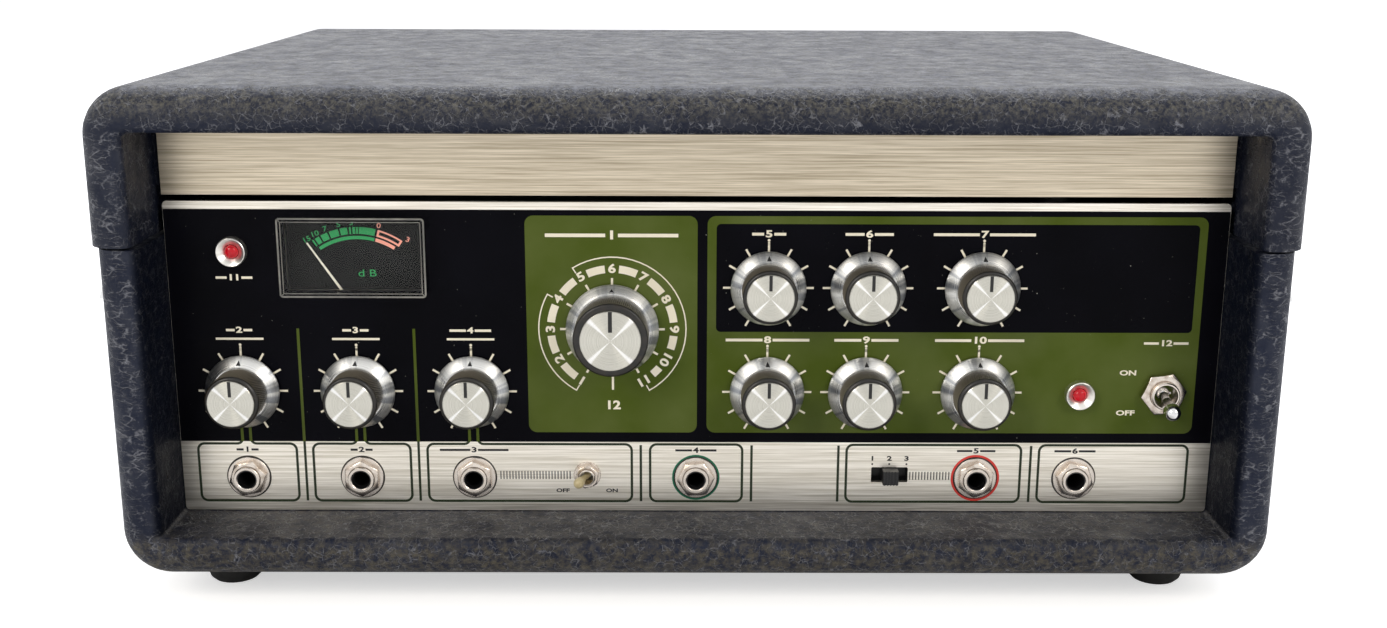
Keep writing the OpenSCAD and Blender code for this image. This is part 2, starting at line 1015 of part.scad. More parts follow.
module echo_lever() {
  color("#d8cfa8")
    on_panel(echo_toggle[0], echo_toggle[1]) {
      rotate([0, -echo_lean, 0])
        bat_lever(ball = 1.3, neck = 1, tip = 1.9, length = 11.5);
      rotate([0, 0, 90])
        lever_pin(r = 0.4, half = 1.6);
    }
}

slide_knob_w = 5.6;
slide_seat_d = 4;

module slide_switch() {
  body_w = slide_w + 14;
  body_h = 12;
  body_d = 9;
  color(black_paint)
    on_panel(slide_place[0], slide_place[1])
      difference() {
        block([-body_w / 2, -body_h / 2, -panel_t - body_d], [body_w / 2, body_h / 2, -panel_t - seat]);
        block([-slide_w / 2, -slide_h / 2, -panel_t - slide_seat_d], [slide_w / 2, slide_h / 2, 0]);
      }
}

// Sliding knob in the middle of its slot, with thumb ribs on its face
module slide_knob() {
  half = slide_knob_w / 2;
  half_h = slide_h / 2 - clear;
  face = 4.2;
  rib = 0.6;
  rib_h = 0.4;
  rib_step = 1.1;
  color(phenolic)
    on_panel(slide_place[0], slide_place[1]) {
      block([-half, -half_h, clear - panel_t - slide_seat_d], [half, half_h, face]);
      for (i = [-2 : 2]) {
        block([i * rib_step - rib / 2, -half_h, face - 0.2], [i * rib_step + rib / 2, half_h, face + rib_h]);
      }
    }
}

// ---- Knobs ----

flute_depth = 0.45;
mode_flutes = flutes + 12;

// Skirt with a bevel, fluted grip, thin disc in the face, and the shaft it turns
module knob(skirt, grip, plate, h, n) {
  skirt_low = 0.8;
  skirt_top = 5;
  web_z = 4.2;
  hollow_r = 7;
  bevel_top = grip + 0.7;
  edge = 0.3;
  face = h - 1;
  plate_z = face - 1.2;
  shaft_end = face - 4;
  shaft_tail = -panel_t - 6;
  line_w = 0.13 * plate;
  color(chromed)
    rotate_extrude()
      polygon([
        [hollow_r, skirt_low], [skirt - 0.4, skirt_low], [skirt, 1.2], [skirt, 2],
        [bevel_top, skirt_top - edge], [bevel_top - 2 * edge, skirt_top],
        [shaft_r + seat, skirt_top], [shaft_r + seat, web_z], [hollow_r, web_z]
      ]);
  color(phenolic)
    difference() {
      union() {
        translate([0, 0, skirt_top + seat])
          linear_extrude(height = face - 1 - skirt_top - seat)
            polygon(flute_ring(grip, flute_depth, n));
        translate([0, 0, face - 1])
          cylinder(h = 1, r1 = grip - edge, r2 = grip - 3 * edge);
      }
      disc(plate + seat, plate_z, h + over);
      disc(shaft_r + seat, 0, shaft_end);
    }
  color(brushed)
    difference() {
      disc(plate, plate_z + seat, h);
      // Line cut into the disc from its rim, which shows the setting
      block([-line_w / 2, plate / 3, h - edge], [line_w / 2, plate + over, h + over]);
    }
  color(zinc)
    disc(shaft_r, shaft_tail, shaft_end - seat);
}

module small_knob(x, z) {
  on_panel(x, z)
    knob(skirt_r, grip_r, disc_r, knob_h, flutes);
}

module mic_1_knob() { small_knob(mic_1_x, lower_row_z); }
module mic_2_knob() { small_knob(mic_2_x, lower_row_z); }
module instrument_knob() { small_knob(instrument_x, lower_row_z); }
module bass_knob() { small_knob(bass_x, upper_row_z); }
module treble_knob() { small_knob(treble_x, upper_row_z); }
module reverb_knob() { small_knob(reverb_x, upper_row_z); }
module rate_knob() { small_knob(bass_x, lower_row_z); }
module intensity_knob() { small_knob(treble_x, lower_row_z); }
module echo_knob() { small_knob(reverb_x, lower_row_z); }

module mode_knob() {
  on_panel(mode_x, mode_z)
    knob(mode_skirt_r, mode_grip_r, mode_disc_r, mode_h, mode_flutes);
}

// ---- Chassis, boards and rear panel ----

// Folded tray with flanged side walls that carry the deck
module chassis_tray() {
  deck_flange = 14;
  front_flange = 6;
  window = 40;
  window_r = 8;
  window_step = 70;
  window_z = (floor_top + deck_under) / 2;
  color(zinc)
    difference() {
      union() {
        block([-tray_x, tray_front, floor_top], [tray_x, tray_rear, floor_top + sheet_t]);
        both_sides() {
          block([tray_x - sheet_t, tray_front, floor_top], [tray_x, tray_rear, deck_under]);
          block([tray_x - deck_flange, tray_front, deck_under - sheet_t], [tray_x, tray_rear, deck_under]);
          block([tray_x - front_flange, tray_front, floor_top], [tray_x, tray_front + sheet_t, deck_under]);
        }
      }
      // Windows that lighten the side walls
      for (i = [-1 : 1]) {
        translate([-tray_x - over, i * window_step, window_z])
          rotate([0, 90, 0])
            linear_extrude(height = 2 * (tray_x + over))
              soft_rect(window, window, window_r);
      }
    }
}

rear_panel_y = rear_y - rear_panel_in;
rear_panel_top = seam_z - seam_gap / 2 - rail_h - 0.5;
rear_mid = (floor_top + rear_panel_top) / 2;
gland_x = -165;
gland_r = 7;
gland_bore = 3.6;
fuse_x = -125;
fuse_r = 6.5;
vent_n = 22;
vent_x = -70;
vent_step = 10;

// Upright local frame on the rear panel: Z out of the back of the unit
module on_rear(x) {
  translate([x, rear_panel_y, rear_mid])
    rotate([-90, 0, 0])
      children();
}

module rear_panel() {
  edge = 1;
  slot_w = 3.5;
  slot_h = 46;
  slot_r = 1.7;
  color(black_paint)
    difference() {
      block(
        [edge - inner_x, rear_panel_y, floor_top + edge / 2],
        [inner_x - edge, rear_panel_y + sheet_t, rear_panel_top]
      );
      // Cooling slots
      for (i = [0 : vent_n - 1]) {
        on_rear(vent_x + i * vent_step)
          translate([0, 0, -over])
            linear_extrude(height = sheet_t + 2 * over)
              soft_rect(slot_w, slot_h, slot_r);
      }
      on_rear(gland_x)
        disc(gland_r + hole_gap, -over, sheet_t + over);
      on_rear(fuse_x)
        disc(fuse_r + hole_gap, -over, sheet_t + over);
    }
}

// Rubber bush in the rear panel for a mains lead
module cord_gland() {
  inside = -5;
  outside = 12;
  collar = 4.5;
  color(rubber)
    on_rear(gland_x)
      rotate_extrude()
        polygon([
          [gland_bore, inside], [gland_r + 2, inside], [gland_r + 2, -seat], [gland_r, -seat],
          [gland_r, sheet_t + seat], [gland_r + 3, sheet_t + seat],
          [gland_r + 2.4, collar], [gland_bore + 2, outside], [gland_bore, outside]
        ]);
}

// Fuse holder: body through the rear panel, ring nut and slotted cap
module fuse_holder() {
  nut_z = sheet_t + seat;
  nut_h = 3;
  cap_h = 10;
  slot_w = 1.6;
  slot_d = 1.5;
  body_d = 26;
  color(phenolic)
    on_rear(fuse_x) {
      disc(fuse_r, -body_d, sheet_t + 1);
      ring(fuse_r + 3, fuse_r - 1, nut_z, nut_h);
      difference() {
        disc(fuse_r + 1, nut_h - over, cap_h);
        block([-slot_w / 2, -fuse_r - 2, cap_h - slot_d], [slot_w / 2, fuse_r + 2, cap_h + over]);
      }
    }
}

tray_top = floor_top + sheet_t;

// Mains transformer: laminated core, winding on its bobbin and feet
module power_transformer() {
  core = [66, 48, 54];
  winding = [44, 68, 38];
  feet = [80, 32, 4];
  winding_low = 12;
  place = [-136, 64, tray_top];
  color(zinc)
    translate(place) {
      block([-core[0] / 2, -core[1] / 2, feet[2]], [core[0] / 2, core[1] / 2, feet[2] + core[2]]);
      block([-feet[0] / 2, -feet[1] / 2, 0], [feet[0] / 2, feet[1] / 2, feet[2] + seat]);
      block(
        [-winding[0] / 2, -winding[1] / 2, winding_low],
        [winding[0] / 2, winding[1] / 2, winding_low + winding[2]]
      );
    }
}

// Spring reverb tank: a folded pan over two springs stretched between transducers
module reverb_tank() {
  half = 116;
  half_d = 21;
  high = 34;
  flange = 6;
  transducer_x = 97;
  transducer_w = 16;
  spring_y = 7;
  spring_z = 15;
  spring_r = 2.4;
  place = [58, 84, tray_top];
  color(zinc)
    translate(place) {
      difference() {
        union() {
          block([-half, -half_d, 0], [half, half_d, high]);
          block([-half, -half_d - flange, 0], [half, half_d + flange, sheet_t]);
        }
        block(
          [sheet_t - half, sheet_t - half_d, -over],
          [half - sheet_t, half_d - sheet_t, high - sheet_t]
        );
      }
      for (sx = [-1, 1]) {
        translate([sx * transducer_x - transducer_w / 2, -2 * spring_y, 0])
          cube([transducer_w, 4 * spring_y, spring_z + spring_y]);
      }
      for (y = [-spring_y, spring_y]) {
        translate([-transducer_x, y, spring_z])
          rotate([0, 90, 0])
            cylinder(h = 2 * transducer_x, r = spring_r);
      }
    }
}

// Circuit board on its pillars, with its larger components
module main_board() {
  pillar_h = 10;
  pillar_r = 3.5;
  board_z = tray_top + pillar_h;
  thick = 1.6;
  low = [-60, -72];
  high = [165, 44];
  inset = 8;
  chip = [19, 7, 5];
  tallest = 19;
  color("#3d5a33") {
    block([low[0], low[1], board_z], [high[0], high[1], board_z + thick]);
    for (x = [low[0] + inset, high[0] - inset], y = [low[1] + inset, high[1] - inset]) {
      translate([x, y, 0])
        disc(pillar_r, tray_top, board_z + seat);
    }
    // Capacitors in a zigzag, then a row of integrated circuits
    for (i = [0 : 6]) {
      translate([-40 + i * 30, -20 + 22 * (i % 2), 0])
        disc(6 - (i % 3), board_z + thick / 2, board_z + tallest - 3 * (i % 3));
    }
    for (i = [0 : 4]) {
      translate([-20 + i * 36, -58, board_z + thick / 2])
        cube(chip);
    }
  }
}

// ---- Tape transport ----

bearing_r = 9;
motor_shaft_r = 2;
spindle_low = wheel_z - 10;
post_top = tape_z + tape_w + 1.2;

module deck_plate() {
  color(black_paint)
    difference() {
      block([-tray_x, tray_front, deck_under], [tray_x, tray_rear, deck_z]);
      translate([capstan_x, capstan_y, 0])
        disc(bearing_r + hole_gap, deck_under - over, deck_z + over);
      // Adjusting hole over the motor
      translate([motor_x, motor_y, 0])
        disc(pulley_r + 1, deck_under - over, deck_z + over);
    }
}

// Flanged bush in the deck that the capstan runs in
module capstan_bearing() {
  flange_r = 13;
  top = deck_z + 2;
  color(brushed)
    translate([capstan_x, capstan_y, 0])
      difference() {
        union() {
          disc(bearing_r, wheel_z + wheel_t + clear, top);
          disc(flange_r, deck_z + seat, top);
        }
        disc(capstan_r + shaft_gap, wheel_z, top + over);
      }
}

// Capstan spindle with its flywheel: hub, recessed web with six holes, heavy rim
module flywheel() {
  hub_r = 12;
  rim_w = 7;
  hole_n = 6;
  hole_r = 6;
  hole_at = 22;
  color(brushed)
    translate([capstan_x, capstan_y, 0])
      difference() {
        union() {
          disc(flywheel_r, wheel_z, wheel_z + wheel_t);
          disc(bearing_r, wheel_z - 3, wheel_z + over);
          disc(capstan_r, spindle_low, post_top);
        }
        ring(flywheel_r - rim_w, hub_r, wheel_z - over, wheel_z + 3);
        for (i = [0 : hole_n - 1]) {
          rotate([0, 0, 360 / hole_n * i])
            translate([hole_at, 0, 0])
              disc(hole_r, wheel_z - over, wheel_z + wheel_t + over);
        }
      }
}

module motor_pulley() {
  flange_r = pulley_r + 2.5;
  color("#b08d4a")
    translate([motor_x, motor_y, 0]) {
      disc(pulley_r, wheel_z, wheel_z + wheel_t);
      disc(flange_r, wheel_z - 1, wheel_z);
      disc(flange_r, wheel_z + wheel_t, wheel_z + wheel_t + 1);
      disc(motor_shaft_r, motor_top - 12, wheel_z);
    }
}

// Outline of the taut belt, wider than the wheel and the pulley by extra
module belt_loop(extra) {
  hull() {
    translate([motor_x, motor_y])
      circle(r = pulley_r + extra);
    translate([capstan_x, capstan_y])
      circle(r = flywheel_r + extra);
  }
}

module drive_belt() {
  belt_t = 1.4;
  edge = 2;
  color(rubber)
    translate([0, 0, wheel_z + edge])
      linear_extrude(height = wheel_t - 2 * edge)
        difference() {
          belt_loop(clear + belt_t);
          belt_loop(clear);
        }
}

motor_top = wheel_z - 7;

// Motor under the deck on three pillars, with a bearing bush for its shaft
module drive_motor() {
  can_r = 33;
  cap_r = 28;
  can_low = 72;
  pillar_r = 4;
  pillar_low = motor_top - 14;
  color(zinc)
    translate([motor_x, motor_y, 0])
      difference() {
        union() {
          disc(can_r, can_low, motor_top - 2);
          disc(cap_r, can_low - 6, can_low + over);
          disc(pulley_r - 1, motor_top - 3, motor_top + 2);
          for (a = [90, 210, 330]) {
            rotate([0, 0, a])
              translate([can_r - 3, 0, 0])
                disc(pillar_r, pillar_low, deck_under - seat);
          }
        }
        disc(motor_shaft_r + shaft_gap, motor_top - 18, motor_top + 3);
      }
}

// Route of the tape: along the heads, round the right posts, folded in the bin and back
function fold_reach(s) = pow(sin(90 * min(1, 6 * min(s, 1 - s))), 2);
function fold_point(s) = [
  right_turn_x + (left_turn_x - right_turn_x) * s,
  upper_turn_y + turn_r + fold_reach(s) * (fold_mid + fold_swing * sin(360 * folds * s - 90))
];
fold_mid = 40;
fold_swing = 34;
fold_steps = 24 * folds;
tape_route = concat(
  arc(left_turn_x, lower_turn_y, turn_r, 180, 270, 6),
  arc(right_turn_x, lower_turn_y, turn_r, 270, 360, 6),
  arc(right_turn_x, upper_turn_y, turn_r, 0, 90, 6),
  [for (i = [1 : fold_steps - 1]) fold_point(i / fold_steps)],
  arc(left_turn_x, upper_turn_y, turn_r, 90, 180, 6)
);

module tape_loop() {
  color("#3a2418")
    translate([0, 0, tape_z])
      linear_extrude(height = tape_w)
        difference() {
          polygon(shifted(tape_route, tape_t / 2));
          polygon(shifted(tape_route, -tape_t / 2));
        }
}

bin_floor = deck_z + 1.5;

module tape_bin() {
  gate = 12;
  color(black_paint)
    difference() {
      block([bin_left, bin_front, deck_z + seat], [bin_right, bin_rear, bin_top]);
      block(
        [bin_left + bin_wall, bin_front + bin_wall, bin_floor],
        [bin_right - bin_wall, bin_rear - bin_wall, bin_top + over]
      );
      // Gates in the front wall where the tape goes in and out
      for (x = [left_turn_x - turn_r, right_turn_x + turn_r]) {
        block(
          [x - gate / 2, bin_front - over, bin_floor],
          [x + gate / 2, bin_front + bin_wall + over, bin_top + over]
        );
      }
    }
}

// Clear sheet over the bin with two finger holes
module tape_cover() {
  thick = 1.5;
  hole_in = 20;
  hole_r = 6;
  color(clear_plastic)
    difference() {
      block([bin_left, bin_front, bin_top + seat], [bin_right, bin_rear, bin_top + thick]);
      for (x = [bin_left + hole_in, bin_right - hole_in]) {
        translate([x, (bin_front + bin_rear) / 2, 0])
          disc(hole_r, bin_top - over, bin_top + thick + over);
      }
    }
}

head_x = [-104, -80, -36, 4, 44];
head_r = 5;
head_y = tape_y + tape_t / 2 + 0.15 + head_r;
head_end = 12;
base_t = 2;

// Heads on their base plate, and the posts that guide the tape
module head_block() {
  head_low = deck_z + 1.5;
  head_high = deck_z + 12.5;
  shell_d = 9;
  flange_t = 0.8;
  color(zinc) {
    block(
      [head_x[0] - head_end, tape_y - 3, deck_z + seat],
      [head_x[4] + head_end + 2, tape_y + 22, deck_z + base_t]
    );
    for (x = head_x) {
      translate([x, head_y, 0])
        disc(head_r, head_low, head_high);
      block([x - head_r, head_y, head_low], [x + head_r, head_y + shell_d, head_high]);
    }
    for (x = [left_turn_x, right_turn_x], y = [lower_turn_y, upper_turn_y]) {
      base_z = (y > bin_front ? bin_floor : deck_z) + seat;
      translate([x, y, 0]) {
        disc(post_r, base_z, post_top);
        disc(post_r + 2, base_z, base_z + flange_t);
      }
    }
    // Post that the pinch arm turns on
    translate([arm_x, arm_y, 0])
      disc(post_r, deck_z + seat, arm_z + arm_t + 1);
  }
}

// Moulded cover over the heads, open towards the tape
module head_cover() {
  wall = 1.5;
  left = head_x[0] - head_end - 3;
  right = head_x[4] + head_end + 5;
  front = tape_y + 4;
  back = tape_y + 26;
  low = deck_z + seat;
  high = deck_z + 16;
  color(phenolic)
    difference() {
      block([left, front, low], [right, back, high]);
      block([left + wall, front - over, low - over], [right - wall, back - wall, high - wall]);
    }
}

roller_pin_r = 2;
roller_washer_r = 3.4;

// Arm that presses the roller to the capstan, with the pin the roller turns on
module pinch_arm() {
  reach = norm([arm_x - pinch_x, arm_y - pinch_y]);
  turn = atan2(pinch_y - arm_y, pinch_x - arm_x);
  top = arm_z + arm_t;
  arm_w = 10;
  boss_r = 8;
  eye_r = 6.5;
  pin_low = roller_low + clear;
  color(zinc)
    difference() {
      union() {
        translate([arm_x, arm_y, 0]) {
          rotate([0, 0, turn])
            block([0, -arm_w / 2, arm_z], [reach, arm_w / 2, top]);
          disc(boss_r, deck_z + clear, top);
        }
        translate([pinch_x, pinch_y, 0]) {
          disc(eye_r, arm_z, top);
          disc(roller_pin_r, pin_low, top);
          // Washer that holds the roller, sunk in its lower face
          disc(roller_washer_r, pin_low, roller_low + 1);
        }
      }
      translate([arm_x, arm_y, 0])
        disc(post_r + shaft_gap, deck_z - over, top + over);
    }
}

module pinch_roller() {
  high = arm_z - clear;
  color(rubber)
    translate([pinch_x, pinch_y, 0])
      difference() {
        disc(pinch_r, roller_low, high);
        disc(roller_pin_r + shaft_gap, roller_low - over, high + over);
        disc(roller_washer_r + clear, roller_low - over, roller_low + 1 + clear);
      }
}

// ---- Build ----

case_shell();
front_panel();
chassis_tray();
rear_panel();
deck_plate();
tape_bin();
tape_cover();
tape_loop();
head_block();
head_cover();
drive_motor();
capstan_bearing();
power_transformer();
reverb_tank();
main_board();
control_pots();
mode_switch();
jack_sockets();
jack_nuts();
meter_case();
meter_dial();
meter_window();
lamp_bezels();
lamp_lenses();
power_switch();
echo_switch();
slide_switch();
floor_feet();
side_feet();
carry_strap();
strap_ends();
latch_strikes();
hinge_case_leaves();
cord_gland();
fuse_holder();
drive_belt();
lid_shell();
title_strip();
latch_plates();
hinge_lid_leaves();
left_latch();
right_latch();
flywheel();
motor_pulley();
pinch_arm();
pinch_roller();
meter_needle();
mic_1_knob();
mic_2_knob();
instrument_knob();
bass_knob();
treble_knob();
reverb_knob();
rate_knob();
intensity_knob();
echo_knob();
mode_knob();
power_lever();
echo_lever();
slide_knob();
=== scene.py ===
# %% [markdown]
# # A tape echo unit, dressed over its frame
# The unit is a vinyl covered box with a brushed metal front. Its solids come from the
# imported frame, in metres, with +X to the right, the front facing -Y and +Z up. This
# lesson adds what solids can't say: the grain of the vinyl, the brushing of the metal,
# the printing on the panel, and small pieces such as screws and knurls.

# %% Load the frame
import json
import math

import bmesh
import bpy
from mathutils import Matrix, Vector


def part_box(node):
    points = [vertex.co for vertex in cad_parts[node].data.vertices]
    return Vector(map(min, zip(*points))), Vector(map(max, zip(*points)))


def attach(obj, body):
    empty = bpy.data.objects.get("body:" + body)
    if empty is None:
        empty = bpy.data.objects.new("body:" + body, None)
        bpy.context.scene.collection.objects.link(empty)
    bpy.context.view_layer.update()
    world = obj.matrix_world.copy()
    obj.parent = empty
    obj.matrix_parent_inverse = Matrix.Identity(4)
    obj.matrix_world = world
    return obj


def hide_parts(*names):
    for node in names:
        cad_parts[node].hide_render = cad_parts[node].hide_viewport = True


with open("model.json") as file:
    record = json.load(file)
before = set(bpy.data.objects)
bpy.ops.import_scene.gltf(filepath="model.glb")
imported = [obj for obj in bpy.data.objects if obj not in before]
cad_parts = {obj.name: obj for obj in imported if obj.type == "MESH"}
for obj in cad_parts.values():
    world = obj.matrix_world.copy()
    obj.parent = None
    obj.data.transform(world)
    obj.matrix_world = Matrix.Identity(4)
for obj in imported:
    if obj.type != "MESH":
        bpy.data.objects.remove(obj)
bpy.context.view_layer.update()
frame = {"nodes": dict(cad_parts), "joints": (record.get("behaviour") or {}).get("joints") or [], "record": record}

# %% [markdown]
# ## Units, colours and nodes
# The frame is in metres, but a maker thinks of a panel in millimetres, so every size below
# is written in millimetres and turned once. Colours are written as screens show them, and
# one function makes them linear. Others add a shader node with its settings and its links,
# a Math node, or an object, so that a material reads as a short list.

# %% Small helpers
MM = 0.001


def hex_colour(code):
    parts = [int(code[i:i + 2], 16) / 255 for i in (1, 3, 5)]
    return [p / 12.92 if p <= 0.04045 else ((p + 0.055) / 1.055) ** 2.4 for p in parts] + [1.0]


def node(tree, kind, inputs=None, **settings):
    made = tree.nodes.new(kind)
    for name, value in settings.items():
        setattr(made, name, value)
    for name, value in (inputs or {}).items():
        if isinstance(value, bpy.types.NodeSocket):
            tree.links.new(value, made.inputs[name])
        else:
            made.inputs[name].default_value = value
    return made


def maths(tree, operation, *values):
    """The result of a Math node on values, which are numbers or sockets."""
    return node(tree, "ShaderNodeMath", dict(enumerate(values)), operation=operation).outputs[0]


def per(size):
    """The scale of a pattern on Object coordinates whose feature is size millimetres wide."""
    return 1 / (size * MM)


def placed(name, data, place=None):
    """A new object of the scene, at its place."""
    made = bpy.data.objects.new(name, data)
    bpy.context.scene.collection.objects.link(made)
    if place:
        made.matrix_world = place
    return made


def span(name):
    """The low and the high corner of a solid's box, in millimetres."""
    return (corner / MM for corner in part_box(name))


# %% [markdown]
# ## Places that everything is measured from
# The panel's face, the two sides and the top come from the frame's solids. The places of the
# controls come from the joints of their knobs and levers, so a look never drifts from the
# solid under it.

# %% Read the places from the frame
case_low, case_high = span("case_shell")
lid_low, lid_high = span("lid_shell")
panel_low, panel_high = span("front_panel")
strip_low, strip_high = span("title_strip")
FACE = panel_low.y
FRONT = case_low.y
joint_of = {joint["child"]: joint for joint in frame["joints"]}


def place_of(body):
    """The x and z of the axis that a body turns about, in millimetres."""
    at = Vector(joint_of[body]["pos_m"]) / MM
    return at.x, at.z


SMALL_KNOBS = [
    "mic_1_knob", "mic_2_knob", "instrument_knob", "bass_knob", "treble_knob",
    "reverb_knob", "rate_knob", "intensity_knob", "echo_knob",
]
MODE = place_of("mode_knob")
SOCKETS = [
    (mount["pos_m"][0] / MM, mount["pos_m"][2] / MM)
    for mount in frame["record"]["mounts"] if mount["name"].endswith("_socket")
]
print("panel face at y", round(FACE, 2), "sockets", [round(x, 1) for x, z in SOCKETS])

# %% [markdown]
# ## The camera
# The photograph was taken close, from a little above, with its horizon almost level. The
# place below was fitted to the edges of the case: the camera stands half a metre in front
# of it and looks down by 14 degrees. A close camera widens the front of the case against
# its rear, which a longer lens from further away wouldn't.

# %% Place the camera
CAMERA_AHEAD = 509.4
CAMERA_X = -3.57
CAMERA_Z = 237.6
LOOK_DOWN = 0.2462
LOOK_RIGHT = 0.0043
CAMERA_ROLL = 0.0037
LENS = 40.4
SENSOR = 36.0

camera_data = bpy.data.cameras.new("camera")
camera_data.lens = LENS
camera_data.sensor_width = SENSOR
camera_data.sensor_fit = "HORIZONTAL"
camera_data.clip_end = 60
bpy.context.scene.camera = placed(
    "camera", camera_data, Matrix.Translation(Vector((CAMERA_X, FRONT - CAMERA_AHEAD, CAMERA_Z)) * MM)
    @ Matrix.Rotation(-LOOK_RIGHT, 4, "Z")
    @ Matrix.Rotation(math.pi / 2 - LOOK_DOWN, 4, "X")
    @ Matrix.Rotation(CAMERA_ROLL, 4, "Z")
)
bpy.context.scene.view_settings.view_transform = "Standard"

# %% [markdown]
# ## Light, floor and background
# The unit was photographed in soft daylight and cut out on white. Area lamps stand for the
# windows: a large one above and behind that greys the lid, and a narrow one on each side of
# the camera. The world is plain and dim for the light it gives, and white where the camera,
# a mirror or clear plastic looks at it.

# %% Lamps, world and floor
AIM = Vector((0, -0.1, 0.09))


def area_lamp(name, place, width, height, power, colour):
    data = bpy.data.lights.new(name, "AREA")
    data.shape = "RECTANGLE"
    data.size = width
    data.size_y = height
    data.energy = power
    data.color = hex_colour(colour)[:3]
    lamp = placed(name, data)
    lamp.location = place
    lamp.rotation_euler = (AIM - Vector(place)).to_track_quat("-Z", "Y").to_euler()


area_lamp("window_above", (0.1, 0.9, 1.7), 2.2, 1.4, 26, "#f4f7ff")
area_lamp("window_left", (-1.2, -1.5, 1.2), 0.6, 0.9, 15, "#fff8ee")
area_lamp("window_right", (1.3, -1.4, 1.1), 0.5, 0.8, 11, "#fff8ee")

world = bpy.data.worlds.new("studio")
bpy.context.scene.world = world
world.use_nodes = True
sky = world.node_tree
sky.nodes.clear()
seen = node(sky, "ShaderNodeLightPath").outputs
seen_or_clear = maths(sky, "MAXIMUM", seen["Is Camera Ray"], seen["Is Transmission Ray"])
looked_at = maths(sky, "MAXIMUM", seen_or_clear, seen["Is Glossy Ray"])
dim = node(sky, "ShaderNodeBackground", {"Color": hex_colour("#f3f5f8"), "Strength": 0.55})
white = node(sky, "ShaderNodeBackground", {"Color": hex_colour("#ffffff"), "Strength": 1.0})
both = node(sky, "ShaderNodeMixShader", {0: looked_at, 1: dim.outputs[0], 2: white.outputs[0]})
node(sky, "ShaderNodeOutputWorld", {"Surface": both.outputs[0]})

# %% [markdown]
# ## How a finish is made
# Each material starts from a Principled shader. Numbers that are the same all over a surface
# are set on the shader's own sockets. What varies, such as grain or brushing, is a pattern
# on Object coordinates, whose scale is a real size in millimetres.

# %% The start of every finish
def finish(name, colour, roughness, metallic=0.0, **sockets):
    material = bpy.data.materials.new(name)
    material.use_nodes = True
    shader = material.node_tree.nodes["Principled BSDF"]
    shader.inputs["Base Color"].default_value = hex_colour(colour)
    shader.inputs["Roughness"].default_value = roughness
    shader.inputs["Metallic"].default_value = metallic
    for socket, value in sockets.items():
        shader.inputs[socket.replace("_", " ")].default_value = value
    return material, material.node_tree, shader


def object_place(tree):
    return node(tree, "ShaderNodeTexCoord").outputs["Object"]


def noise(tree, place, size, detail=3.0, roughness=0.5, stretch=None):
    """Noise with features of about size millimetres, drawn out along an axis by stretch."""
    if stretch:
        shrunk = [1 / length for length in stretch]
        place = node(tree, "ShaderNodeMapping", {"Vector": place, "Scale": shrunk}).outputs[0]
    return node(tree, "ShaderNodeTexNoise", {
        "Vector": place, "Scale": per(size), "Detail": detail, "Roughness": roughness,
    }).outputs[0]


def between(tree, value, low, high, from_low=0.0, from_high=1.0):
    """Value, drawn from one range onto another and held inside it."""
    return node(tree, "ShaderNodeMapRange", {
        "Value": value, "From Min": from_low, "From Max": from_high, "To Min": low, "To Max": high,
    }).outputs[0]


def tinted(tree, share, tone, code):
    """A colour, from a socket or as numbers, turned by a share towards another."""
    return node(tree, "ShaderNodeMix", {0: share, 6: tone, 7: hex_colour(code)}, data_type="RGBA").outputs[2]


def blend_colours(tree, share, first_code, second_code):
    return tinted(tree, share, hex_colour(first_code), second_code)


def feed(shader, **values):
    """Links values to the sockets of a shader."""
    for socket, value in values.items():
        shader.id_data.links.new(value, shader.inputs[socket.replace("_", " ")])


def raise_surface(tree, shader, height, depth, strength=1.0):
    """Bump whose height runs from 0 to 1 over depth millimetres."""
    bump = node(tree, "ShaderNodeBump", {"Height": height, "Distance": depth * MM, "Strength": strength})
    feed(shader, Normal=bump.outputs[0])


# The floor is a matt painted board. A little light of its own keeps it white for the camera
# without hiding the shadow.
FLOOR_HALF = 12.0
FLOOR_LIGHT = 0.55
floor_paint, floor_tree, floor_shader = finish(
    "matt white board", "#fbfbfb", 0.9, Emission_Color=hex_colour("#ffffff"))
floor_ways = node(floor_tree, "ShaderNodeLightPath").outputs
feed(floor_shader, Emission_Strength=between(floor_tree, floor_ways["Is Camera Ray"], 0.0, FLOOR_LIGHT))
floor_mesh = bpy.data.meshes.new("floor")
floor_mesh.from_pydata(
    [(x * FLOOR_HALF, y * FLOOR_HALF, 0) for x, y in ((-1, -1), (1, -1), (1, 1), (-1, 1))], [], [(0, 1, 2, 3)]
)
floor_mesh.materials.append(floor_paint)
floor = placed("floor", floor_mesh)

# %% [markdown]
# ## Vinyl on the case
# The boards are plywood under PVC leathercloth. Its grain is embossed between rollers: thin
# ridges that branch and meet, smooth ground between them, and bundles of fine parallel
# wrinkles. Displaced geometry would need millions of faces at this grain, so the shapes stay
# with the boards and the grain is bump. The ridges are the narrow lines where Voronoi cells
# meet, pushed about by noise so that no cell shows, at two sizes. On the sides they run
# across the boards. They are painted paler than the ground in broken lines, a painted
# highlight on the ridges. Brown dust lies at the bottom of the case. Pale specks on the lid's
# rounded top edge are painted highlight, and a pale film on its top is painted reflection.
# The walls of the opening, which are in shade, are darkened.

# %% Grained vinyl
RIDGES = ((2.8, 0.08, 1.0), (1.3, 0.12, 0.5))
WRINKLE = 1.5
FLAT_GRAIN = (1.0, 0.8, 1.0)
SIDE_GRAIN = (0.36, 0.4, 1.15)


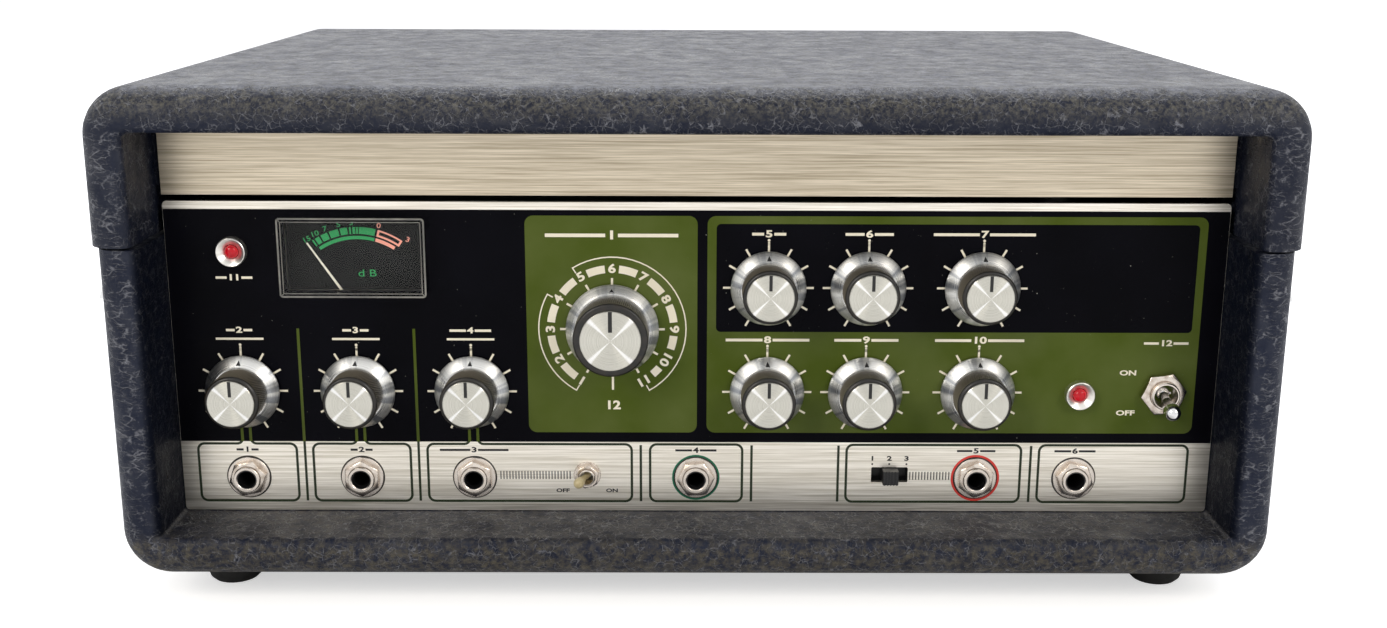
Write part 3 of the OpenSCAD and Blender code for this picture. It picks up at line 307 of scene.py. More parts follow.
def ridge_height(tree, place, stretch):
    """Height of the thin ridges, whose cells are drawn out where stretch is small."""
    total = 0.0
    for size, width, share in RIDGES:
        drawn = node(tree, "ShaderNodeMapping", {"Vector": place, "Scale": stretch}).outputs[0]
        edge = node(tree, "ShaderNodeTexVoronoi", {"Vector": drawn, "Scale": per(size)},
                    feature="DISTANCE_TO_EDGE").outputs["Distance"]
        line = between(tree, edge, 1.0, 0.0, 0.0, width)
        total = maths(tree, "MULTIPLY_ADD", line, share, total)
    return total


def in_opening(tree, parts, from_middle):
    """One on the walls of the opening for the panel, and nought elsewhere."""
    on_wall = between(tree, from_middle, 1.0, 0.0, (INNER_X + 1) * MM, (INNER_X + 3) * MM)
    beside = between(tree, from_middle, 0.0, 1.0, (INNER_X - 0.5) * MM, INNER_X * MM)
    height_off = maths(tree, "ABSOLUTE", maths(tree, "SUBTRACT", parts["Z"], OPENING_Z * MM))
    level = between(tree, height_off, 1.0, 0.0, (OPENING_HALF - 1) * MM, OPENING_HALF * MM)
    return maths(tree, "MULTIPLY", maths(tree, "MULTIPLY", on_wall, beside), level)


def specked(tree, tone, where, speckle, code):
    """The tone with specks of a colour in it, where the share is above nought."""
    return tinted(tree, maths(tree, "MULTIPLY", where, speckle), tone, code)


def grained_vinyl(name, colour, worn, crest, box, dust_top=None, sheen_top=None):
    material, tree, shader = finish(name, colour, 0.42)
    place = object_place(tree)
    drift = node(tree, "ShaderNodeTexNoise", {"Vector": place, "Scale": per(5.0), "Detail": 4.0}).outputs[1]
    centred = node(tree, "ShaderNodeVectorMath", {0: drift, 1: (0.5, 0.5, 0.5)},
                   operation="SUBTRACT").outputs[0]
    pushed = node(tree, "ShaderNodeVectorMath", {0: centred, 1: (3.2 * MM,) * 3, 2: place},
                  operation="MULTIPLY_ADD").outputs[0]
    parts = node(tree, "ShaderNodeSeparateXYZ", {"Vector": place}).outputs
    from_middle = maths(tree, "ABSOLUTE", parts["X"])
    on_side = between(tree, from_middle, 0.0, 1.0, (box.x - 17) * MM, (box.x - 9) * MM)
    inside = in_opening(tree, parts, from_middle)
    ridges = node(tree, "ShaderNodeMix", {
        0: on_side, 2: ridge_height(tree, pushed, FLAT_GRAIN), 3: ridge_height(tree, pushed, SIDE_GRAIN),
    }).outputs[0]
    broken = between(tree, noise(tree, place, 4, 4, 0.7), 0.05, 1.0, 0.42, 0.6)
    lines = maths(tree, "MULTIPLY", ridges, broken)
    wrinkles = node(tree, "ShaderNodeTexWave", {
        "Vector": pushed, "Scale": per(WRINKLE) / 20, "Distortion": 9.0, "Detail": 2.0, "Detail Scale": 1.4,
    }, bands_direction="DIAGONAL").outputs["Fac"]
    bundles = between(tree, noise(tree, place, 14, 2), 0.0, 0.35, 0.46, 0.6)
    height = maths(tree, "MULTIPLY_ADD", wrinkles, bundles, lines)
    swells = noise(tree, place, 3.2, 4, 0.65)
    relief = maths(tree, "MULTIPLY_ADD", swells, 0.7, height)
    raise_surface(tree, shader, relief, 0.42)
    patches = noise(tree, place, 45, 4)
    ground = blend_colours(tree, between(tree, patches, 0.0, 0.7, 0.35, 0.7), colour, worn)
    # Painted highlight: the ridge lines are turned towards a pale colour.
    tone = tinted(tree, between(tree, lines, 0.0, 0.55, 0.2, 1.1), ground, crest)
    if dust_top:
        low_down = between(tree, parts["Z"], 1.0, 0.0, (dust_top - 6) * MM, dust_top * MM)
        specks = between(tree, noise(tree, place, 3, 5, 0.75), 0.0, 0.75, 0.42, 0.66)
        tone = specked(tree, tone, low_down, specks, "#5f594a")
    # Painted highlight as pale specks on the lid's rounded top edge, and a pale film on its top as painted
    # reflection.
    if sheen_top:
        on_edge = between(tree, parts["Z"], 0.0, 1.0, (sheen_top - 12) * MM, (sheen_top - 5) * MM)
        edge_highlights = between(tree, noise(tree, place, 1.5, 4, 0.75), 0.0, 0.7, 0.42, 0.64)
        tone = specked(tree, tone, on_edge, edge_highlights, "#6a675d")
        high_up = between(tree, parts["Z"], 0.0, 1.0, (sheen_top - 3.5) * MM, (sheen_top - 0.3) * MM)
        top_reflection = between(tree, noise(tree, place, 4.2, 5, 0.8), 0.0, 0.95, 0.4, 0.62)
        tone = specked(tree, tone, high_up, top_reflection, "#6b6d76")
    shine = between(tree, relief, 0.12, 0.5, 0.25, 1.2)
    feed(shader, Base_Color=specked(tree, tone, inside, 0.7, "#0a0c12"),
         Specular_IOR_Level=maths(tree, "MULTIPLY", shine, between(tree, inside, 1.0, 0.1)),
         Roughness=between(tree, noise(tree, place, 9, 3), 0.26, 0.55, 0.3, 0.7))
    return material


def paint(name, material):
    """Gives a solid of the frame its finish."""
    solid = frame["nodes"][name]
    solid.data.materials.clear()
    solid.data.materials.append(material)


INNER_X = panel_high.x
OPENING_Z = (panel_low.z + strip_high.z) / 2
OPENING_HALF = (strip_high.z - panel_low.z) / 2
CASE_VINYL = grained_vinyl("PVC leathercloth on the case", "#151a2a", "#1d2334", "#8e9099", case_high,
                           dust_top=case_low.z + 18)
LID_VINYL = grained_vinyl("PVC leathercloth on the lid", "#171b29", "#1f2433", "#8e9099", lid_high,
                          sheen_top=lid_high.z)
paint("case_shell", CASE_VINYL)
paint("lid_shell", LID_VINYL)

# %% [markdown]
# ## Brushed aluminium
# The panel and the strip are sheet aluminium drawn past an abrasive belt, then anodised a
# pale champagne. The belt leaves scratches that run the whole width and are a fraction of a
# millimetre high, so the noise is drawn out along X. It goes to the colour, the roughness
# and a very shallow bump, which together spread a highlight across the brushing.

# %% Brushed sheet
SCRATCH = 0.26
DRAWN_OUT = (90, 1, 1)


def brushed_metal(name, colour, shade):
    rough = 0.34
    material, tree, shader = finish(name, colour, rough, 1.0)
    place = object_place(tree)
    scratches = noise(tree, place, SCRATCH, 3, 0.65, DRAWN_OUT)
    broad = noise(tree, place, 0.9, 3, 0.6, DRAWN_OUT)
    both_scales = node(tree, "ShaderNodeMix", {0: 0.5, 2: scratches, 3: broad}).outputs[0]
    depth = between(tree, both_scales, 0.0, 1.0, 0.4, 0.6)
    feed(shader, Base_Color=blend_colours(tree, depth, shade, colour),
         Roughness=between(tree, scratches, rough - 0.05, rough + 0.1, 0.3, 0.7))
    raise_surface(tree, shader, scratches, 0.004, 0.5)
    return material


PANEL_METAL = brushed_metal("brushed pale anodised aluminium", "#fffaf0", "#d3ccbd")
CHAMPAGNE = brushed_metal("brushed champagne anodised aluminium", "#dfd3be", "#a99d87")
paint("front_panel", PANEL_METAL)
paint("title_strip", CHAMPAGNE)

# %% [markdown]
# ## Printing inks
# The panel is silk-screened: thick matt inks with a faintly uneven edge, laid one on another.
# Each ink is a thin raised sheet of its own, since a shader would need one formula for every
# line, and a sheet keeps its edge sharp at any distance.

# %% Inks
def ink(name, colour, worn, rough=0.55, speck=0.0, sheen=0.35):
    material, tree, shader = finish(name, colour, rough, Specular_IOR_Level=sheen)
    place = object_place(tree)
    clouds = between(tree, noise(tree, place, 30, 4), 0.0, 1.0, 0.35, 0.7)
    tone = blend_colours(tree, clouds, colour, worn)
    if speck:
        dots = between(tree, noise(tree, place, 0.9, 2, 0.4), 0.0, 1.0, 0.79 - speck, 0.83 - speck)
        tone = tinted(tree, dots, tone, "#a9a9a0")
    feed(shader, Base_Color=tone,
         Roughness=between(tree, noise(tree, place, 6, 3), rough - 0.08, rough + 0.08))
    return material


BLACK_INK = ink("matt black silk-screen ink", "#07070b", "#0b0b11", 0.3, speck=0.03, sheen=0.03)
GREEN_INK = ink("olive silk-screen ink", "#42500e", "#545f2c", 0.45, speck=0.015, sheen=0.12)
WHITE_INK = ink("warm white silk-screen ink", "#efe8d4", "#e2dac4", 0.5)
LINE_INK = ink("dark green line ink", "#1e2b14", "#192310", 0.5)
TEXT_INK = ink("black line ink", "#17171a", "#1d1d20", 0.5)
RED_INK = ink("red silk-screen ink", "#d8423a", "#cc3a33", 0.5)
JADE_INK = ink("jade silk-screen ink", "#14684a", "#12604a", 0.5)

# %% [markdown]
# ## Flat shapes for print
# A print is a set of loops on the panel's plane: a plain loop, a loop with a hole, or a line
# given a width. Blender fills a flat curve, holes and all, and gives it a thickness, so each
# ink becomes one curve, which is turned into a mesh before it is put in its place.

# %% Loops on the panel
def round_from(x, z, radius, degrees):
    """The point on a circle at an angle in degrees, clockwise from straight up."""
    turn = math.radians(degrees)
    return x + radius * math.sin(turn), z + radius * math.cos(turn)


def arc(x, z, radius, start, end, steps=12):
    return [round_from(x, z, radius, start + (end - start) * i / steps) for i in range(steps + 1)]


def soft_box(left, low, right, high, radius, steps=6):
    """A rectangle with round corners, counter-clockwise from its upper right corner."""
    corners = [(right - radius, high - radius, 90), (left + radius, high - radius, 0),
               (left + radius, low + radius, -90), (right - radius, low + radius, -180)]
    loop = []
    for x, z, start in corners:
        loop += arc(x, z, radius, start, start - 90, steps)
    return loop


SHARPEST = 0.4


def ribbon(points, width, closed=False):
    """The loops of a line of that width along the points: one, or two where it is closed."""
    count = len(points)
    sides = ([], [])
    for i, point in enumerate(points):
        before = points[(i - 1) % count] if closed or i else point
        after = points[(i + 1) % count] if closed or i < count - 1 else point
        back = (Vector(point) - Vector(before)).normalized()
        ahead = (Vector(after) - Vector(point)).normalized()
        run = (back + ahead).normalized()
        reach = width / 2 / max(SHARPEST, run.dot(ahead if ahead.length else back))
        across = Vector((-run.y, run.x)) * reach
        sides[0].append(tuple(Vector(point) + across))
        sides[1].append(tuple(Vector(point) - across))
    return list(sides) if closed else [sides[0] + sides[1][::-1]]


def settle(made, name):
    """A curve, text or modified object as a plain mesh object with its place in its mesh."""
    bpy.context.view_layer.update()
    graph = bpy.context.evaluated_depsgraph_get()
    mesh = bpy.data.meshes.new_from_object(made.evaluated_get(graph), depsgraph=graph)
    mesh.transform(made.matrix_world)
    bpy.data.objects.remove(made)
    mesh.name = name
    return placed(name, mesh)


def on_panel(x, z, out=0.0):
    """The frame of a thing on the panel: X right, Y up, Z out towards the player."""
    return Matrix.Translation(Vector((x, FACE - out, z)) * MM) @ Matrix.Rotation(math.pi / 2, 4, "X")


INK_THICK = 0.05


def printed(name, loops, out):
    """A filled sheet of ink whose face is out millimetres in front of the panel."""
    curve = bpy.data.curves.new(name, "CURVE")
    curve.dimensions = "2D"
    curve.fill_mode = "BOTH"
    curve.extrude = INK_THICK / 2 * MM
    for loop in loops:
        spline = curve.splines.new("POLY")
        spline.points.add(len(loop) - 1)
        spline.points.foreach_set("co", [v for x, z in loop for v in (x * MM, z * MM, 0, 1)])
        spline.use_cyclic_u = True
    return settle(placed(name, curve, on_panel(0, 0, out - INK_THICK / 2)), name)


FONT_CAP = 0.7
BOLD = 0.034


def letters(text, x, z, cap, out, wide=1.5, turn=0.0, bold=BOLD):
    """Extended bold figures whose capitals are cap millimetres high, centred at x and z."""
    curve = bpy.data.curves.new("figures", "FONT")
    curve.body = text
    curve.align_x = "CENTER"
    curve.align_y = "CENTER"
    curve.offset = bold
    size = cap * MM / FONT_CAP
    curve.extrude = INK_THICK / 2 * MM / size
    curve.resolution_u = 3
    return settle(placed(
        "figures", curve, on_panel(x, z, out - INK_THICK / 2) @ Matrix.Rotation(-math.radians(turn), 4, "Z")
        @ Matrix.Diagonal((size * wide, size, size, 1))
    ), "figures")


def joined(name, pieces, material=None):
    """Several mesh objects as one, which keeps their materials unless one is given."""
    whole = bmesh.new()
    slots = []
    for piece in pieces:
        first = len(whole.faces)
        whole.from_mesh(piece.data)
        whole.faces.ensure_lookup_table()
        own = list(piece.data.materials)
        for face in whole.faces[first:]:
            held = own[face.material_index] if own else None
            if held not in slots:
                slots.append(held)
            face.material_index = slots.index(held)
        bpy.data.objects.remove(piece)
    mesh = bpy.data.meshes.new(name)
    whole.to_mesh(mesh)
    whole.free()
    for held in [material] if material else slots:
        mesh.materials.append(held)
    if material:
        mesh.polygons.foreach_set("material_index", [0] * len(mesh.polygons))
    return placed(name, mesh)


def fix(piece, body, slot, *replaced):
    """Says what a finished piece moves with, and the solids it stands for; its slot is not used."""
    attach(piece, body)
    if replaced:
        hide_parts(*replaced)
    return piece


def inked(name, loops, out, material, slot="panel"):
    """A print that is one piece of its own."""
    sheet = printed(name, loops, out)
    sheet.data.materials.append(material)
    return fix(sheet, "case", slot)


# %% [markdown]
# ## One tree that sets things round a circle
# The scale marks, the knurls and the screws of this unit all stand in rings or rows. A
# Geometry Nodes tree turns the object's own mesh, one mark, into a ring of them: points by
# number, each moved and turned by its own angle. Radius, count and angles are inputs, set by
# their identifiers, and the result is made a plain mesh.

# %% The ring tree
def tree_with(name, inputs):
    tree = bpy.data.node_groups.new(name, "GeometryNodeTree")
    tree.interface.new_socket("Geometry", in_out="INPUT", socket_type="NodeSocketGeometry")
    for label, kind in inputs:
        tree.interface.new_socket(label, in_out="INPUT", socket_type="NodeSocket" + kind)
    tree.interface.new_socket("Geometry", in_out="OUTPUT", socket_type="NodeSocketGeometry")
    return tree, node(tree, "NodeGroupInput").outputs


def finish_tree(tree, geometry, material):
    real = node(tree, "GeometryNodeRealizeInstances", {"Geometry": geometry}).outputs[0]
    painted = node(tree, "GeometryNodeSetMaterial", {"Geometry": real, "Material": material}).outputs[0]
    node(tree, "NodeGroupOutput", {"Geometry": painted})


def ring_tree():
    """Copies of a mark round the Z axis: mark's own X points outwards on the circle."""
    tree, given = tree_with("ring of marks", [
        ("Count", "Int"), ("Radius", "Float"), ("First angle", "Float"), ("Step", "Float"),
        ("Material", "Material"),
    ])
    number = node(tree, "GeometryNodeInputIndex").outputs[0]
    turn = maths(tree, "MULTIPLY_ADD", number, given["Step"], given["First angle"])
    across, up = maths(tree, "COSINE", turn), maths(tree, "SINE", turn)
    unit = node(tree, "ShaderNodeCombineXYZ", {0: across, 1: up}).outputs[0]
    spot = node(tree, "ShaderNodeVectorMath", {0: unit, "Scale": given["Radius"]},
                operation="SCALE").outputs[0]
    points = node(tree, "GeometryNodePoints", {"Count": given["Count"], "Position": spot}).outputs[0]
    angles = node(tree, "ShaderNodeCombineXYZ", {2: turn}).outputs[0]
    copies = node(tree, "GeometryNodeInstanceOnPoints", {
        "Points": points, "Instance": given["Geometry"], "Rotation": angles,
    }).outputs[0]
    finish_tree(tree, copies, given["Material"])
    return tree


def row_tree():
    """Copies of a mark in a straight row along X, step apart."""
    tree, given = tree_with("row of marks", [("Count", "Int"), ("Step", "Float"), ("Material", "Material")])
    number = node(tree, "GeometryNodeInputIndex").outputs[0]
    spot = node(tree, "ShaderNodeCombineXYZ", {0: maths(tree, "MULTIPLY", number, given["Step"])}).outputs[0]
    points = node(tree, "GeometryNodePoints", {"Count": given["Count"], "Position": spot}).outputs[0]
    copies = node(tree, "GeometryNodeInstanceOnPoints", {
        "Points": points, "Instance": given["Geometry"],
    }).outputs[0]
    finish_tree(tree, copies, given["Material"])
    return tree


def spots_tree():
    """Copies of another object on the vertices of this one, each turned by its own angle."""
    tree, given = tree_with("pieces on spots", [
        ("Piece", "Object"), ("Seed", "Int"), ("Material", "Material"),
    ])
    piece = node(tree, "GeometryNodeObjectInfo", {"Object": given["Piece"]}).outputs["Geometry"]
    spin = node(tree, "FunctionNodeRandomValue", {"Seed": given["Seed"], 2: 0.0, 3: math.tau},
                data_type="FLOAT").outputs[1]
    angles = node(tree, "ShaderNodeCombineXYZ", {2: spin}).outputs[0]
    copies = node(tree, "GeometryNodeInstanceOnPoints", {
        "Points": given["Geometry"], "Instance": piece, "Rotation": angles,
    }).outputs[0]
    finish_tree(tree, copies, given["Material"])
    return tree


RING, ROW, SPOTS = ring_tree(), row_tree(), spots_tree()


def repeated(name, mesh, tree, place=None, **inputs):
    """Runs a mesh through a tree and returns the plain result, moved to its place."""
    source = placed(name, mesh, place)
    modifier = source.modifiers.new("nodes", "NODES")
    modifier.node_group = tree
    for item in tree.interface.items_tree:
        label = item.name.lower().replace(" ", "_")
        if item.in_out == "INPUT" and label in inputs:
            modifier[item.identifier] = inputs[label]
    return settle(source, name)


def mesh_of(name, vertices, faces):
    mesh = bpy.data.meshes.new(name)
    mesh.from_pydata([Vector(v) * MM for v in vertices], [], faces)
    mesh.update()
    return mesh


BOX_FACES = [(0, 3, 2, 1), (4, 5, 6, 7), (0, 1, 5, 4), (1, 2, 6, 5), (2, 3, 7, 6), (3, 0, 4, 7)]


def slab(low, high, name="slab"):
    """A plain bar from its low corner to its high corner, in millimetres."""
    (x1, y1, z1), (x2, y2, z2) = low, high
    corners = [(x1, y1, z1), (x2, y1, z1), (x2, y2, z1), (x1, y2, z1),
               (x1, y1, z2), (x2, y1, z2), (x2, y2, z2), (x1, y2, z2)]
    return mesh_of(name, corners, BOX_FACES)


# %% [markdown]
# ## The printed fields
# The panel shows metal in a thin band at its top and a broad one at its bottom. Between them
# it is black, with two olive fields, and a second black field lies inside the right one. The
# black sheet has a hole where the meter looks through. Green lines part the input channels,
# and a fork runs from each channel's knob down to the frame round its socket.

# %% Fields and lines
BLACK_TOP = 139.8
BLACK_LOW = 54.2
HALF_PANEL = panel_high.x - 0.1
LAYER = 0.06
METER = (-121.2, 123.2)
METER_HOLE = (24.0, 12.4)
FIELD_LOW, FIELD_HIGH = 57.9, 137.8
MODE_FIELD = (-60.8, 0.1)
TONE_FIELD = (3.6, 180.0)
TONE_INNER = (6.8, 95.8, 177.1, 135.0)
CORNER = 3.0
METER_CORNER = 1.0
INNER_CORNER = 1.6

meter_corners = [METER[i] + side * METER_HOLE[i] for side in (-1, 1) for i in (0, 1)]
black_sheet = printed("black_field", [
    [(-HALF_PANEL, BLACK_LOW), (HALF_PANEL, BLACK_LOW), (HALF_PANEL, BLACK_TOP), (-HALF_PANEL, BLACK_TOP)],
    soft_box(*meter_corners, METER_CORNER),
], LAYER)
inner_black = printed("inner_black", [soft_box(*TONE_INNER, INNER_CORNER)], 3 * LAYER)
fix(joined("ink_black", [black_sheet, inner_black], BLACK_INK), "case", "panel")

DIVIDERS = [(-142.6, 96.6), (-101.2, 96.6), (-20.3, 53.0), (20.1, 53.0), (51.8, 53.0), (122.1, 53.0)]
BOX_LOW, BOX_HIGH = 31.3, 53.3
SOCKET_BOXES = [
    (-181.4, -145.6), (-139.6, -104.2), (-98.0, -23.6), (-16.9, 16.7), (54.8, 118.5), (125.1, 179.4),
]
FORKS = [x for x, z in SOCKETS[:3]]
FORK_HALF = 1.5
FORK_TOP = 61.0
FORK_BEND = 2.0
LINE = 0.9
FORK_LINE = 1.0
BOX_CORNER = 2.4


def channel_frame(left, right, fork):
    """The line round a socket, opened at its top where the fork runs up to the knob."""
    frame_loop = soft_box(left, BOX_LOW, right, BOX_HIGH, BOX_CORNER)
    if fork is None:
        return ribbon(frame_loop, LINE, closed=True)
    near_right, near_left, near_low, near_high = (
        right - BOX_CORNER, left + BOX_CORNER, BOX_LOW + BOX_CORNER, BOX_HIGH - BOX_CORNER)
    bend = FORK_BEND
    line = [(fork + FORK_HALF, FORK_TOP)] + arc(fork + FORK_HALF + bend, BOX_HIGH + bend, bend, -90, -180, 5)
    for x, z, turn in ((near_right, near_high, 0), (near_right, near_low, 90),
                       (near_left, near_low, 180), (near_left, near_high, 270)):
        line += arc(x, z, BOX_CORNER, turn, turn + 90, 6)
    line += arc(fork - FORK_HALF - bend, BOX_HIGH + bend, bend, 180, 90, 5) + [(fork - FORK_HALF, FORK_TOP)]
    return ribbon(line, LINE)


lines = []
for left, right in SOCKET_BOXES:
    fork = next((x for x in FORKS if left < x < right), None)
    lines += channel_frame(left, right, fork)
for x, top in DIVIDERS:
    lines += ribbon([(x, BOX_LOW), (x, min(top, BLACK_LOW))], LINE)
inked("ink_line", lines, LAYER, LINE_INK)

olive = [soft_box(left, FIELD_LOW, right, FIELD_HIGH, CORNER) for left, right in (MODE_FIELD, TONE_FIELD)]
for x, top in DIVIDERS[:2]:
    olive += ribbon([(x, BLACK_LOW), (x, top)], FORK_LINE)
for x in FORKS:
    for side in (-FORK_HALF, FORK_HALF):
        olive += ribbon([(x + side, BLACK_LOW), (x + side, FORK_TOP + 2)], FORK_LINE)
inked("ink_olive", olive, 2 * LAYER, GREEN_INK)

# %% [markdown]
# ## Scales round the knobs
# Each small knob has eleven marks, thirty degrees apart, and the one straight up is longer,
# with a dot over it. The marks reach in under the skirt, so a knob never shows a gap. Each
# ring is one bar run through the ring tree.

# %% White scales
WHITE_OUT = 4 * LAYER
MARK_WIDE = 0.75
MARK_FROM = 12.0
MARK_TO = 16.1
MARK_STEP = math.radians(30)


def scale_ring(x, z, start, end, width):
    """Eleven bars whose roots are at the circle's middle, from low left to low right."""
    bar = slab((start, -width / 2, -INK_THICK), (end, width / 2, 0), "mark")
    return repeated("scale", bar, RING, on_panel(x, z, WHITE_OUT), count=11, radius=0.0,
                    first_angle=math.radians(-60), step=MARK_STEP, material=WHITE_INK)


white = []
white_loops = []
for name in SMALL_KNOBS:
    x, z = place_of(name)
    white.append(scale_ring(x, z, MARK_FROM, MARK_TO, MARK_WIDE))
    white_loops += ribbon([(x, z + MARK_TO - 1), (x, z + MARK_TO + 0.5)], MARK_WIDE)
    white_loops.append(arc(x, z + MARK_TO + 1.1, 0.5, 0, 330, 11))

# The mode scale has a band between its figures, and two brackets outside them.
MODE_X, MODE_Z = MODE
BAND = (20.6, 23.4)
BRACKET = 26.3
BRACKET_LINE = 0.45
MODE_FROM, MODE_TO, MODE_LOW = 15.5, 18.7, 22.6
MODE_WIDE = 0.8
BRACKET_HOOK = 2.2
white.append(scale_ring(MODE_X, MODE_Z, MODE_FROM, MODE_TO, MODE_WIDE))
white_loops += ribbon([(MODE_X, MODE_Z - MODE_FROM), (MODE_X, MODE_Z - MODE_LOW)], MODE_WIDE)
MODE_GAPS = {n: 10.5 if n > 9 else 6.5 for n in range(1, 12)}
for n in range(1, 11):
    start = -180 + 30 * n + MODE_GAPS[n]
    end = -150 + 30 * n - MODE_GAPS[n + 1]
    white_loops.append(arc(MODE_X, MODE_Z, BAND[1], start, end) + arc(MODE_X, MODE_Z, BAND[0], end, start))
for start, end in ((-150, -61), (-32, 150)):
    first_tip, last_tip = (round_from(MODE_X, MODE_Z, BRACKET - BRACKET_HOOK, turn) for turn in (start, end))
    bracket = [first_tip] + arc(MODE_X, MODE_Z, BRACKET, start, end, 30) + [last_tip]
    white_loops += ribbon(bracket, BRACKET_LINE)
white.append(printed("white_lines", white_loops, WHITE_OUT))

# %% [markdown]
# ## Figures
# A scale needs its numbers, and the switches are marked ON and OFF. Each control carries a
# plain number between two short rules, which holds the place and the weight of a label
# without being one. Blender's own font, widened and set a little bold, comes close to the
# broad figures of such panels.

# %% Numbers
def tag(text, x, z, width, cap, out):
    """A number with a rule on each side, width millimetres wide in all."""
    half = width / 2
    gap = cap * (0.75 if len(text) == 1 else 1.25)
    rules = [loop for side in (-1, 1)
             for loop in ribbon([(x + side * gap, z), (x + side * half, z)], cap * 0.42)]
    return [letters(text, x, z, cap, out), printed("rules", rules, out)]


LABEL_UP = 19.4
LABEL_CAP = 2.4
SMALL_CAP = 2.1
RULE_HALF = 8.5
MODE_CAP = 3.1
for n in range(1, 12):
    turn = -180 + 30 * n
    x, z = round_from(MODE_X, MODE_Z, sum(BAND) / 2, turn)
    white.append(letters(str(n), x, z, MODE_CAP, WHITE_OUT, 1.25, turn))
white.append(letters("12", MODE_X, 68.2, MODE_CAP, WHITE_OUT, 1.25))
white += tag("1", MODE_X, 130.8, 47, 3.0, WHITE_OUT)
LABEL_WIDTHS = dict(zip(SMALL_KNOBS, (17, 17, 27, 12, 17, 36, 30, 23, 32)))
for number, name in enumerate(SMALL_KNOBS, 2):
    x, z = place_of(name)
    if number < 5:
        white += tag(str(number), x, z + LABEL_UP + 3.2, LABEL_WIDTHS[name] * 0.55, SMALL_CAP, WHITE_OUT)
        rule = ribbon([(x + side * RULE_HALF, z + LABEL_UP) for side in (-1, 1)], 0.8)
        white.append(printed("rule", rule, WHITE_OUT))
    else:
        white += tag(str(number), x, z + LABEL_UP, LABEL_WIDTHS[name], LABEL_CAP, WHITE_OUT)
LAMPS = [(-164, 124.8), (138.2, 72.8)]
POWER = place_of("power_lever")
white += tag("11", LAMPS[0][0], 115.2, 13, SMALL_CAP, WHITE_OUT)
white += tag("12", POWER[0], 91.9, 16, SMALL_CAP, WHITE_OUT)
for word, z in (("ON", 80.8), ("OFF", 65.7)):
    white.append(letters(word, 155.4, z, 1.8, WHITE_OUT))
fix(joined("ink_white", white, WHITE_INK), "case", "panel")

TOGGLE = place_of("echo_lever")
TAG_WIDTHS = (8, 8, 25, 15, 14, 15)
dark = []
for number, ((x, _), width) in enumerate(zip(SOCKETS, TAG_WIDTHS), 1):
    dark += tag(str(number), x, 51.0, width, 1.9, LAYER)
for number, x in ((1, 64.3), (2, 70.5), (3, 76.8)):
    dark.append(letters(str(number), x, 48.0, 1.7, LAYER))
    dark.append(printed("dot", [arc(x, 45.9, 0.35, 0, 330, 11)], LAYER))
for word, aside in (("OFF", -9), ("ON", 9)):
    dark.append(letters(word, TOGGLE[0] + aside, 35.4, 1.3, LAYER))
for x, count in ((-71.5, 24), (78.2, 14)):
    bar = slab((-0.18, -1.55, -INK_THICK), (0.18, 1.55, 0), "hatch")
    dark.append(repeated("hatch", bar, ROW, on_panel(x, 41.4, LAYER), count=count, step=1.1 * MM,
                         material=TEXT_INK))
fix(joined("ink_dark", dark, TEXT_INK), "case", "panel")

WASHER = 7.5
for name, number, gap, width, material in (
    ("jade_ring", 3, 0.45, 1.5, JADE_INK), ("red_ring", 4, 0.55, 1.7, RED_INK),
):
    circle = arc(*SOCKETS[number], WASHER + gap, 0, 352.5, 47)
    inked(name, ribbon(circle, width, closed=True), LAYER, material)
print("inks done")

# %% [markdown]
# ## Turned pieces
# Skirts, caps, washers and collars all come off a lathe. One function turns a profile round
# the Z axis and unwraps it with U along the profile and V round it, so that a finish can tell
# the way of the cut and the angle of a point.

# %% The lathe
UV_NAME = "turned"


def lathe(name, profile, material, segments=96):
    """Turns a profile of (radius, height) points in millimetres. Outside lies to its right."""
    work = bmesh.new()
    turned = work.loops.layers.uv.new(UV_NAME)
    turns = [math.tau * i / segments for i in range(segments)]
    rings = [
        [work.verts.new(Vector((radius * math.cos(t), radius * math.sin(t), height)) * MM) for t in turns]
        for radius, height in profile
    ]
    length = 0.0
    for k, (low, high) in enumerate(zip(rings, rings[1:])):
        step = math.dist(profile[k], profile[k + 1])
        for i in range(segments):
            j = (i + 1) % segments
            face = work.faces.new((low[i], low[j], high[j], high[i]))
            face.smooth = True
            corners = ((length, i), (length, i + 1), (length + step, i + 1), (length + step, i))
            for loop, (u, v) in zip(face.loops, corners):
                loop[turned].uv = (u * 0.02, v / segments)
        length += step
    mesh = bpy.data.meshes.new(name)
    work.to_mesh(mesh)
    work.free()
    mesh.materials.append(material)
    return sharpened(placed(name, mesh))


def sharpened(piece, angle=28):
    """Smooth faces whose edges stay crisp where they bend by more than the angle."""
    piece.data.polygons.foreach_set("use_smooth", [True] * len(piece.data.polygons))
    piece.data.set_sharp_from_angle(angle=math.radians(angle))
    return piece


def loose(mesh, material=None):
    """An object of a mesh, to be joined to others."""
    if material:
        mesh.materials.append(material)
    return placed(mesh.name, mesh)


def moved(piece, place):
    """Puts the place of a piece in its mesh."""
    piece.data.transform(place)
    return piece


# %% [markdown]
# ## Metals and plastics of the controls
# The skirts and caps are turned aluminium under clear lacquer. The shader's anisotropy takes
# its direction from the U of the lathe, which crosses the grooves, and fine rings of noise
# along the same U break it up. The bright cross on a cap is painted highlight and the darker
# fans on a skirt are painted reflection, both laid out by the V of the lathe, because small
# lamps don't draw them, so they turn with the knob.

# %% Turned aluminium, nickel, chrome and black plastic
RAY_COUNT = 4
RAY_CREST = 0.9


